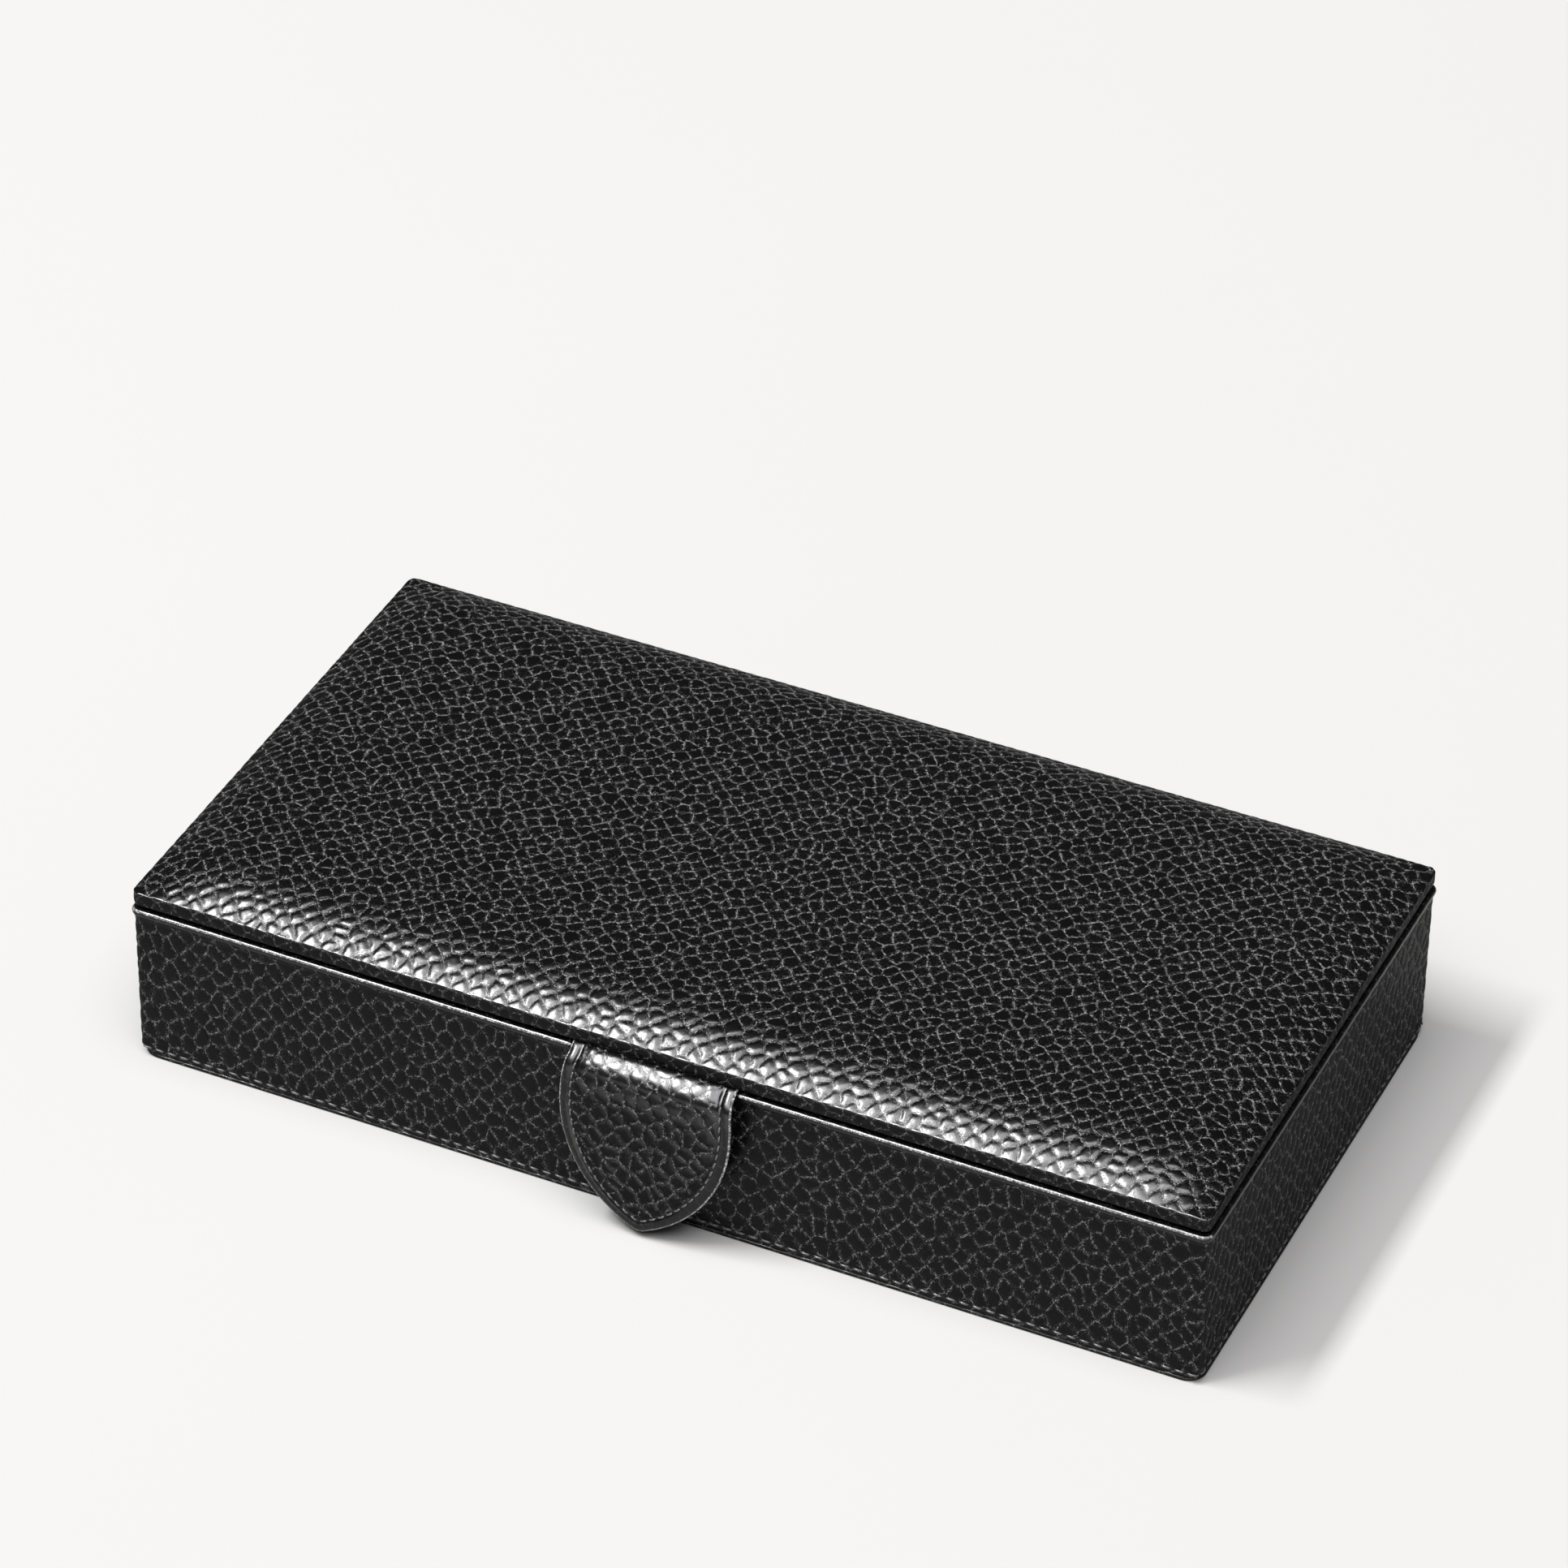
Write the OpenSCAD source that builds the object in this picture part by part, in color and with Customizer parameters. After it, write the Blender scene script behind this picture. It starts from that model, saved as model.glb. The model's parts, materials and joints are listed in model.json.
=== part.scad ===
// Leather-covered poker chip case with a padded lid, brass hinges and a stitched pull tab.
// Origin: centre of the underside. X runs along the case, -Y is the front (the tab's side), Z is up.

/* [Case] */
// Outside length, along X
case_l = 320; // [260:1:420]
// Outside depth, front to back
case_w = 167; // [135:1:240]
// Plan radius of the upright corners
corner_r = 2.2; // [1.8:0.1:6]
// Plan radius of the corners of the leather under the base
bottom_corner_r = 5.5; // [2:0.1:8]
// Thickness of the four wooden walls
wall_t = 4; // [3:0.1:7]
// Thickness of the wooden bottom
bottom_t = 4; // [3:0.1:7]
// Thickness of the leather
leather_t = 1.2; // [0.9:0.1:1.6]
// Thickness of the suede lining
lining_t = 0.8; // [0.5:0.1:1.5]

/* [Base stitching] */
// Height of the stitch line above the underside
stitch_z = 3; // [2.2:0.1:6]
// Width of the groove that the thread lies in
groove_w = 0.9; // [0.7:0.1:1.4]
// Depth of the groove that the thread lies in
groove_d = 0.5; // [0.3:0.1:0.7]
// Gap between the thread and the groove
thread_clear = 0.05; // [0.02:0.01:0.1]

/* [Lid] */
// Gap between the base's rim and the lid
lid_gap = 1; // [0.3:0.05:1.2]
// Thickness of the lid's board
lid_board_t = 2.5; // [2:0.1:6]
// Thickness of the leather where it is pared and turned under the lid
turn_t = 0.8; // [0.5:0.1:1.2]
// Width of the leather turned under the lid
turn_w = 12; // [9:0.5:16]
// Rise of the padded top above the lid's edge
dome_h = 6.5; // [3:0.1:12]
// Width over which the padded top rises to its full height
dome_run = 28; // [15:1:45]
// Thickness of the lining panel's card
panel_board_t = 2.5; // [1.5:0.1:4]
// Gap between the lining panel and the turned leather around it
panel_clear = 0.3; // [0.1:0.05:1]

/* [Chips and cards] */
// Diameter of a chip
chip_d = 40; // [34:0.5:48]
// Room beside a chip in its channel
chip_clear = 1; // [0.6:0.1:2]
// Room between the chips and the lid's lining panel
chip_headroom = 4; // [2:0.5:12]
// Thickness of the dividers between chip channels
divider_t = 2.4; // [2:0.1:4]
// Height of the chip dividers above the lining
divider_h = 24; // [12:1:36]
// Thickness of the tall dividers around the card bays
bay_divider_t = 3; // [2:0.1:5]
// Gap between the tall dividers and the lid's lining panel
bay_divider_clear = 3.5; // [1:0.5:8]
// Height of the blocks that raise the cards above the lining
card_block_h = 22; // [6:1:28]

/* [Hinges] */
// Distance of each hinge's middle from the case's middle
hinge_x = 110; // [60:1:112]
// Length of a hinge
hinge_l = 30; // [24:1:36]
// Thickness of a hinge leaf
leaf_t = 1; // [0.8:0.1:1.2]
// Margin of wood left inside a leaf
leaf_margin = 0.4; // [0.2:0.1:0.8]
// Gap around a leaf in its recess
leaf_clear = 0.1; // [0.05:0.05:0.3]
// Radius of a hinge barrel
barrel_r = 1.3; // [1.1:0.05:1.5]
// Gap between a barrel and the leather at the back
barrel_clear = 0.2; // [0.1:0.05:0.5]
// Radius of a hinge pin
pin_r = 0.7; // [0.5:0.05:0.8]
// Running clearance of the pin in the lid's knuckles
pin_run = 0.05; // [0.02:0.01:0.08]
// Clearance of the pin in the base's knuckles, which hold it
pin_hold = 0.01; // [0.005:0.005:0.02]
// Gap between neighbouring knuckles
knuckle_gap = 0.2; // [0.1:0.05:0.4]
// Radius of a screw's shank
screw_r = 0.75; // [0.6:0.05:0.9]
// Radius of a screw's head
screw_head_r = 1.4; // [1.2:0.05:1.5]
// Depth of a screw's countersunk head
screw_head_h = 0.6; // [0.4:0.05:0.7]
// Width of the slot in a screw's head
screw_slot_w = 0.45; // [0.3:0.05:0.6]
// Depth of the slot in a screw's head
screw_slot_h = 0.35; // [0.2:0.05:0.4]
// Clearance around a screw
screw_clear = 0.03; // [0.02:0.01:0.05]
// Length of the screws in the base
screw_l = 8; // [5:0.5:12]
// Wood left beyond the tip of a lid screw
screw_cover = 0.4; // [0.2:0.1:1]
// Distance of a screw from the end of its leaf
screw_inset = 5; // [3:0.5:7]

/* [Pull tab] */
// Half width of the tab at its widest
tab_half = 25.5; // [16:0.5:32]
// How much the tab's half width shrinks towards the fold
tab_taper = 1; // [0.5:0.25:3]
// Distance from the fold down to the widest place
tab_shoulder = 13; // [8:0.5:20]
// Height of the tab's tip above the underside
tab_tip_z = 1.2; // [0.8:0.1:12]
// Angle at which the tab stands away from the front
tab_lean = 6; // [4:0.5:16]
// Distance of the fold, at the tab's back, in front of the case
tab_fold_out = 2.8; // [0.4:0.1:4]
// Thickness of the tab's leathers
tab_leather_t = 1; // [0.8:0.1:1.4]
// Thickness of the padding inside the tab
tab_pad_t = 0.8; // [0.4:0.1:1.4]
// Distance of the stitch line from the tab's edge
tab_border = 3.3; // [2.5:0.1:5]
// Thickness of the leather tongue that holds the tab under the lid
root_t = 1.3; // [1:0.1:1.6]
// Length of the tongue under the lid
root_in = 9; // [7:0.5:10]
// Gap between the tongue and the recess in the rim
root_clear = 0.2; // [0.1:0.05:0.5]
// Gap between the tab and the tongue at the fold
fold_clear = 0.5; // [0.3:0.1:1]

/* [Hidden] */
$fn = 64;
EPS = 0.01;
HULL_FN = 32;
CHIP_ROWS = 5;
KNUCKLES = 5;

// Levels
floor_z = leather_t + bottom_t;
lining_top = floor_z + lining_t;
panel_z = lining_top + chip_d + chip_headroom;
board_z = panel_z + panel_board_t + lining_t;
lid_z = board_z - turn_t;
base_h = lid_z - lid_gap;
wall_top = base_h - leather_t;
pad_z = board_z + lid_board_t;
edge_z = pad_z + leather_t;
// Clear inside of the base
side_t = leather_t + wall_t + lining_t;
inner_l = case_l - 2 * side_t;
inner_w = case_w - 2 * side_t;
// Channels from the left wall, then the card bays
channel_w = chip_d + chip_clear;
channel_pitch = channel_w + divider_t;
bay_divider_x = -inner_l / 2 + CHIP_ROWS * channel_w + (CHIP_ROWS - 1) * divider_t;
card_x = bay_divider_x + bay_divider_t;
card_l = inner_l / 2 - card_x;
tall_top = panel_z - bay_divider_clear;
// Hinges
axis_y = case_w / 2 + barrel_clear + barrel_r;
axis_z = base_h + lid_gap / 2;
leaf_in_y = case_w / 2 - leather_t - wall_t + leaf_margin;
screw_y = case_w / 2 - leather_t - wall_t / 2;
lid_screw_l = max(leaf_t, turn_t) + lid_board_t - screw_cover;
knuckle_l = hinge_l / KNUCKLES;
// Tab
fold_y = -case_w / 2 - tab_fold_out;
fold_z = lid_z - root_t;
tab_t = 2 * tab_leather_t + tab_pad_t;
tab_l = (fold_z - tab_tip_z) / cos(tab_lean);
tab_root_half = tab_half - tab_taper;

// Rounded rectangle centred on the origin
module plate_2d(l, w, r) {
    hull_r = max(r, 0.3);
    square([l - 2 * hull_r, w], center = true);
    square([l, w - 2 * hull_r], center = true);
    for (x = [-1, 1], y = [-1, 1])
        translate([x * (l / 2 - hull_r), y * (w / 2 - hull_r)]) circle(r = hull_r);
}

// Plate of the case's outline moved in by inset, from z0 to z1
module case_plate(inset, z0, z1) {
    translate([0, 0, z0])
        linear_extrude(z1 - z0)
            plate_2d(case_l - 2 * inset, case_w - 2 * inset, corner_r - inset);
}

// Rise of the padded top at a distance in from its edge, as a share of dome_h
function dome_share(d) = 1 - pow(1 - min(d / dome_run, 1), 2.5);

// Padded top as one convex solid: sunk by sink, from z0 up
module dome(sink, z0) {
    steps = [0, 0.12, 0.28, 0.5, 0.75, 1];
    hull() {
        case_plate(sink, z0, edge_z - sink, $fn = HULL_FN);
        for (s = steps)
            case_plate(s * dome_run + sink, edge_z - sink,
                       edge_z - sink + EPS + dome_h * dome_share(s * dome_run), $fn = HULL_FN);
    }
}

// Box between two corners
module box(low, high) {
    translate(low) cube(high - low);
}

// Two copies, one for each hinge
module each_hinge() {
    for (side = [-1, 1]) translate([side * hinge_x, 0, 0]) children();
}

// Room for a leaf, opened out to the back of the case
module leaf_room(z0, z1) {
    each_hinge()
        box([-hinge_l / 2 - leaf_clear, leaf_in_y - leaf_clear, z0],
            [hinge_l / 2 + leaf_clear, case_w / 2 + EPS, z1]);
}

// Room for a countersunk screw with its head's face at z = 0 and its tip below, grown by grow
module screw_room(length, grow) {
    translate([0, 0, -length]) cylinder(r = screw_r + grow, h = length);
    translate([0, 0, -screw_head_h])
        cylinder(r1 = screw_r + grow, r2 = screw_head_r + grow, h = screw_head_h + (grow > 0 ? EPS : 0));
}

// The screw itself, with a slot across its head
module screw(length) {
    difference() {
        screw_room(length, 0);
        translate([-screw_head_r, -screw_slot_w / 2, -screw_slot_h])
            cube([2 * screw_head_r, screw_slot_w, screw_slot_h + EPS]);
    }
}

// Both screws of one leaf, heads up, or the room for them when grow is above 0
module leaf_screws(length, grow = 0) {
    for (x = [-1, 1])
        translate([x * (hinge_l / 2 - screw_inset), screw_y, 0])
            if (grow > 0) screw_room(length, grow);
            else rotate([0, 0, x * 35]) screw(length);
}

module base_screws(grow = 0) {
    translate([0, 0, base_h]) leaf_screws(screw_l, grow);
}

module lid_screws(grow = 0) {
    translate([0, 0, lid_z]) mirror([0, 0, 1]) leaf_screws(lid_screw_l, grow);
}

// Knuckles numbered from first in steps of two
module knuckles(first) {
    for (k = [first : 2 : KNUCKLES - 1])
        translate([-hinge_l / 2 + k * knuckle_l + knuckle_gap / 2, axis_y, axis_z])
            rotate([0, 90, 0]) cylinder(r = barrel_r, h = knuckle_l - knuckle_gap);
}

// Arms that join a leaf's plate to its own knuckles
module knuckle_arms(first, z0) {
    for (k = [first : 2 : KNUCKLES - 1])
        translate([-hinge_l / 2 + k * knuckle_l + knuckle_gap / 2, case_w / 2 - EPS, z0])
            cube([knuckle_l - knuckle_gap, axis_y - case_w / 2, leaf_t]);
}

module pin_bore(clear) {
    translate([-hinge_l / 2 - EPS, axis_y, axis_z])
        rotate([0, 90, 0]) cylinder(r = pin_r + clear, h = hinge_l + 2 * EPS);
}

module base_leaf() {
    difference() {
        union() {
            box([-hinge_l / 2, leaf_in_y, base_h - leaf_t], [hinge_l / 2, case_w / 2, base_h]);
            knuckle_arms(0, base_h - leaf_t);
            knuckles(0);
        }
        pin_bore(pin_hold);
        base_screws(screw_clear);
    }
}

module lid_leaf() {
    difference() {
        union() {
            box([-hinge_l / 2, leaf_in_y, lid_z], [hinge_l / 2, case_w / 2, lid_z + leaf_t]);
            knuckle_arms(1, lid_z);
            knuckles(1);
        }
        pin_bore(pin_run);
        lid_screws(screw_clear);
    }
}

module hinge_pin() {
    translate([-hinge_l / 2, axis_y, axis_z]) rotate([0, 90, 0]) cylinder(r = pin_r, h = hinge_l);
}

// Outline of the tab in its own plane, moved in by inset: the fold lies on y = 0, the tip towards -y
module tab_2d(inset = 0) {
    drop = tab_l - tab_shoulder;
    arch_c = (drop * drop - tab_half * tab_half) / (2 * tab_half);
    side_r = tab_shoulder * tab_shoulder / (2 * tab_taper);
    // pointed arch below the widest place
    intersection() {
        for_both(arch_c) circle(r = arch_c + tab_half - inset, $fn = 128);
        translate([-case_l / 2, -tab_shoulder - tab_l]) square([case_l, tab_l + EPS]);
    }
    // nearly straight sides above it
    intersection() {
        for_both(side_r - tab_half) circle(r = side_r - inset, $fn = 256);
        translate([-case_l / 2, -tab_shoulder]) square([case_l, tab_shoulder - fold_clear]);
    }
}

// What both copies share, one moved left and one right along the widest line
module for_both(shift) {
    intersection() {
        translate([-shift, -tab_shoulder]) children();
        translate([shift, -tab_shoulder]) children();
    }
}

// Layer of the tab between two depths below its front face; its back turns about the fold
module tab_layer(depth0, depth1, inset = 0) {
    translate([0, fold_y, fold_z])
        rotate([90 - tab_lean, 0, 0])
            translate([0, 0, tab_t - depth1])
                linear_extrude(depth1 - depth0) tab_2d(inset);
}

// Recess in the rim that the tongue passes through
module tongue_recess() {
    box([-tab_root_half - root_clear, -case_w / 2 - EPS, lid_z - root_t - root_clear],
        [tab_root_half + root_clear, -inner_w / 2 + EPS, base_h + EPS]);
}

// Divider across the base from front to back
module cross_divider(x, t, top) {
    box([x, -inner_w / 2, lining_top], [x + t, inner_w / 2, top]);
}

module chip_divider(index) {
    color("#8d8276")
        cross_divider(-inner_l / 2 + index * channel_pitch - divider_t, divider_t, lining_top + divider_h);
}

// Block that raises one deck; side is -1 for the front bay and 1 for the back bay
module card_block(side) {
    depth = (inner_w - bay_divider_t) / 2;
    color("#8d8276")
        translate([card_x, side * (bay_divider_t + depth) / 2 - depth / 2, lining_top])
            cube([card_l, depth, card_block_h]);
}

module bottom_leather() {
    color("#1b1b1c")
        linear_extrude(leather_t) plate_2d(case_l, case_w, bottom_corner_r);
}

module bottom_board() {
    color("#b28a5c") case_plate(leather_t, leather_t, floor_z);
}

module long_wall(side) {
    y = side * (case_w / 2 - leather_t - wall_t / 2);
    intersection() {
        case_plate(leather_t, floor_z, wall_top);
        translate([-case_l / 2, y - wall_t / 2, floor_z]) cube([case_l, wall_t, wall_top - floor_z]);
    }
}

module end_wall(side) {
    x = side * (case_l / 2 - leather_t - wall_t / 2);
    depth = case_w - 2 * (leather_t + wall_t);
    color("#b28a5c")
        translate([x - wall_t / 2, -depth / 2, floor_z]) cube([wall_t, depth, wall_top - floor_z]);
}

module front_wall() {
    color("#b28a5c") difference() {
        long_wall(-1);
        tongue_recess();
    }
}

module back_wall() {
    color("#b28a5c") difference() {
        long_wall(1);
        leaf_room(base_h - leaf_t, base_h + EPS);
        each_hinge() base_screws(screw_clear);
    }
}

module side_leather() {
    color("#1b1b1c") difference() {
        case_plate(0, leather_t, base_h);
        case_plate(leather_t, 0, wall_top);
        translate([0, 0, wall_top - EPS])
            linear_extrude(leather_t + 2 * EPS) square([inner_l, inner_w], center = true);
        stitch_ring(0, groove_d, groove_w);
        tongue_recess();
        leaf_room(base_h - leaf_t, base_h + EPS);
        each_hinge() base_screws(screw_clear);
    }
}

// Band round the case at the stitch line, between two depths below the leather's face
module stitch_ring(depth0, depth1, width) {
    difference() {
        case_plate(depth0 - (depth0 > 0 ? 0 : EPS), stitch_z - width / 2, stitch_z + width / 2);
        case_plate(depth1, stitch_z - width, stitch_z + width);
    }
}

module base_stitching() {
    color("#0c0c0d") stitch_ring(thread_clear, groove_d - thread_clear, groove_w - 2 * thread_clear);
}

module floor_lining() {
    color("#8d8276") box([-inner_l / 2, -inner_w / 2, floor_z], [inner_l / 2, inner_w / 2, lining_top]);
}

module wall_lining() {
    color("#8d8276") difference() {
        box([-inner_l / 2 - lining_t, -inner_w / 2 - lining_t, floor_z],
            [inner_l / 2 + lining_t, inner_w / 2 + lining_t, wall_top]);
        box([-inner_l / 2, -inner_w / 2, floor_z - EPS], [inner_l / 2, inner_w / 2, wall_top + EPS]);
        tongue_recess();
    }
}

module bay_divider() {
    color("#8d8276") cross_divider(bay_divider_x, bay_divider_t, tall_top);
}

module card_divider() {
    color("#8d8276")
        box([card_x, -bay_divider_t / 2, lining_top], [card_x + card_l, bay_divider_t / 2, tall_top]);
}

module base_hinge_screws() {
    color("#c9a24a") each_hinge() base_screws();
}

module lid_hinge_screws() {
    color("#c9a24a") each_hinge() lid_screws();
}

module lid_board() {
    color("#b28a5c") difference() {
        case_plate(leather_t, board_z, pad_z);
        leaf_room(lid_z - EPS, lid_z + leaf_t);
        each_hinge() lid_screws(screw_clear);
    }
}

module lid_padding() {
    color("#d8cfae") dome(leather_t, pad_z);
}

module lid_leather() {
    color("#1b1b1c") difference() {
        dome(0, lid_z);
        dome(leather_t, board_z);
        translate([0, 0, lid_z - EPS])
            linear_extrude(turn_t + 2 * EPS)
                square([case_l - 2 * turn_w, case_w - 2 * turn_w], center = true);
        leaf_room(lid_z - EPS, lid_z + leaf_t);
        each_hinge() lid_screws(screw_clear);
    }
}

// Plate of the lining panel inside the turned leather, moved in by inset
module panel_plate(inset, z0, z1) {
    l = case_l - 2 * (turn_w + panel_clear + inset);
    w = case_w - 2 * (turn_w + panel_clear + inset);
    box([-l / 2, -w / 2, z0], [l / 2, w / 2, z1]);
}

module lid_panel_board() {
    color("#9a8f7c") panel_plate(lining_t, panel_z + lining_t, board_z);
}

module lid_panel_suede() {
    color("#8d8276") difference() {
        panel_plate(0, panel_z, board_z);
        panel_plate(lining_t, panel_z + lining_t, board_z + EPS);
    }
}

module tab_tongue() {
    color("#1b1b1c")
        box([-tab_root_half, -case_w / 2 - tab_fold_out / 2, lid_z - root_t],
            [tab_root_half, -case_w / 2 + root_in, lid_z]);
}

module tab_front_leather() {
    color("#1b1b1c") difference() {
        tab_layer(0, tab_leather_t + tab_pad_t);
        tab_layer(tab_leather_t, tab_leather_t + tab_pad_t + EPS, tab_border + groove_w);
        tab_stitch_band(-EPS, groove_d, groove_w);
    }
}

// Band along the tab's stitch line, between two depths
module tab_stitch_band(depth0, depth1, width) {
    difference() {
        tab_layer(depth0, depth1, tab_border - width / 2);
        tab_layer(depth0 - EPS, depth1 + EPS, tab_border + width / 2);
    }
}

module tab_padding() {
    color("#d8cfae") tab_layer(tab_leather_t, tab_leather_t + tab_pad_t, tab_border + groove_w);
}

module tab_back_leather() {
    color("#1b1b1c") tab_layer(tab_leather_t + tab_pad_t, tab_t);
}

module tab_stitching() {
    color("#0c0c0d") tab_stitch_band(thread_clear, groove_d - thread_clear, groove_w - 2 * thread_clear);
}

bottom_leather();
bottom_board();
front_wall();
back_wall();
end_wall(-1);  // left_wall
end_wall(1);  // right_wall
side_leather();
base_stitching();
floor_lining();
wall_lining();
chip_divider(1);  // chip_divider_1
chip_divider(2);  // chip_divider_2
chip_divider(3);  // chip_divider_3
chip_divider(4);  // chip_divider_4
bay_divider();
card_divider();
card_block(-1);  // card_block_front
card_block(1);  // card_block_back
color("#c9a24a") translate([-hinge_x, 0, 0]) base_leaf();  // base_leaf_left
color("#c9a24a") translate([hinge_x, 0, 0]) base_leaf();  // base_leaf_right
color("#c9a24a") translate([-hinge_x, 0, 0]) hinge_pin();  // hinge_pin_left
color("#c9a24a") translate([hinge_x, 0, 0]) hinge_pin();  // hinge_pin_right
base_hinge_screws();
lid_board();
lid_padding();
lid_leather();
lid_panel_board();
lid_panel_suede();
color("#c9a24a") translate([-hinge_x, 0, 0]) lid_leaf();  // lid_leaf_left
color("#c9a24a") translate([hinge_x, 0, 0]) lid_leaf();  // lid_leaf_right
lid_hinge_screws();
tab_tongue();
tab_front_leather();
tab_padding();
tab_back_leather();
tab_stitching();
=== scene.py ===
"""Looks of a leather-covered poker chip case: padded lid, stitched base, pull tab, suede and brass hinges.

All lengths are in metres, in the frame of the CAD part: the origin is the middle of the underside, X runs
along the case, -Y is the front, where the pull tab hangs, and Z is up.
"""

import json
import logging
import math
from collections.abc import Callable, Sequence
from dataclasses import dataclass, field
from enum import Enum

import bmesh
import bpy
import numpy as np
from mathutils import Matrix, Vector

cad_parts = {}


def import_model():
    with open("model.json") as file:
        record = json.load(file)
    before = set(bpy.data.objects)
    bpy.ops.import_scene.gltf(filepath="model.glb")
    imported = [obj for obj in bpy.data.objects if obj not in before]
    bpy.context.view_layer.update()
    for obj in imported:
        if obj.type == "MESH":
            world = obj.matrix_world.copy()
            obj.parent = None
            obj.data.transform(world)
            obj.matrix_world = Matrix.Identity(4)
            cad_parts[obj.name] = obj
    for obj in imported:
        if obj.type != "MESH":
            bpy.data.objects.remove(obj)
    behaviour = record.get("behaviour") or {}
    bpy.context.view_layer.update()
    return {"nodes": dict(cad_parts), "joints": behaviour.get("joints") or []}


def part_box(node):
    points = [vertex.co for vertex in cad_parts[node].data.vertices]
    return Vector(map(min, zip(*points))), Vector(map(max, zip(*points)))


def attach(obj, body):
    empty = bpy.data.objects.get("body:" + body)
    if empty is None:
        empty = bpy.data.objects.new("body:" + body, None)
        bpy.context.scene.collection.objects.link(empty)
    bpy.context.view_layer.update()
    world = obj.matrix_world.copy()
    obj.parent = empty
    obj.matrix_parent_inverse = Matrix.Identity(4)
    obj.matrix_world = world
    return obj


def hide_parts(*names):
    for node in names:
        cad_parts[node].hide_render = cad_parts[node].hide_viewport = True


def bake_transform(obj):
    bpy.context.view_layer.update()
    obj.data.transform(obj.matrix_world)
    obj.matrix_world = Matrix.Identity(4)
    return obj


MM = 0.001
SHARPEST = 0.25 * MM
SAME_POINT = 0.001 * MM
LOG = logging.getLogger("chip_case")
Array = np.ndarray
Colour = tuple[float, float, float]
Socket = bpy.types.NodeSocket


class Body(Enum):
    """The CAD bodies that pieces ride on."""

    BASE = "base"
    LID = "lid"
    TAB = "tab"


class Slot(Enum):
    """Kinds of finish, which give the hidden CAD nodes their material."""

    LEATHER = "leather"
    SUEDE = "suede"
    FOAM = "foam"
    THREAD = "thread"


# --------------------------------------------------------------------------------------------- node wiring


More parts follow.
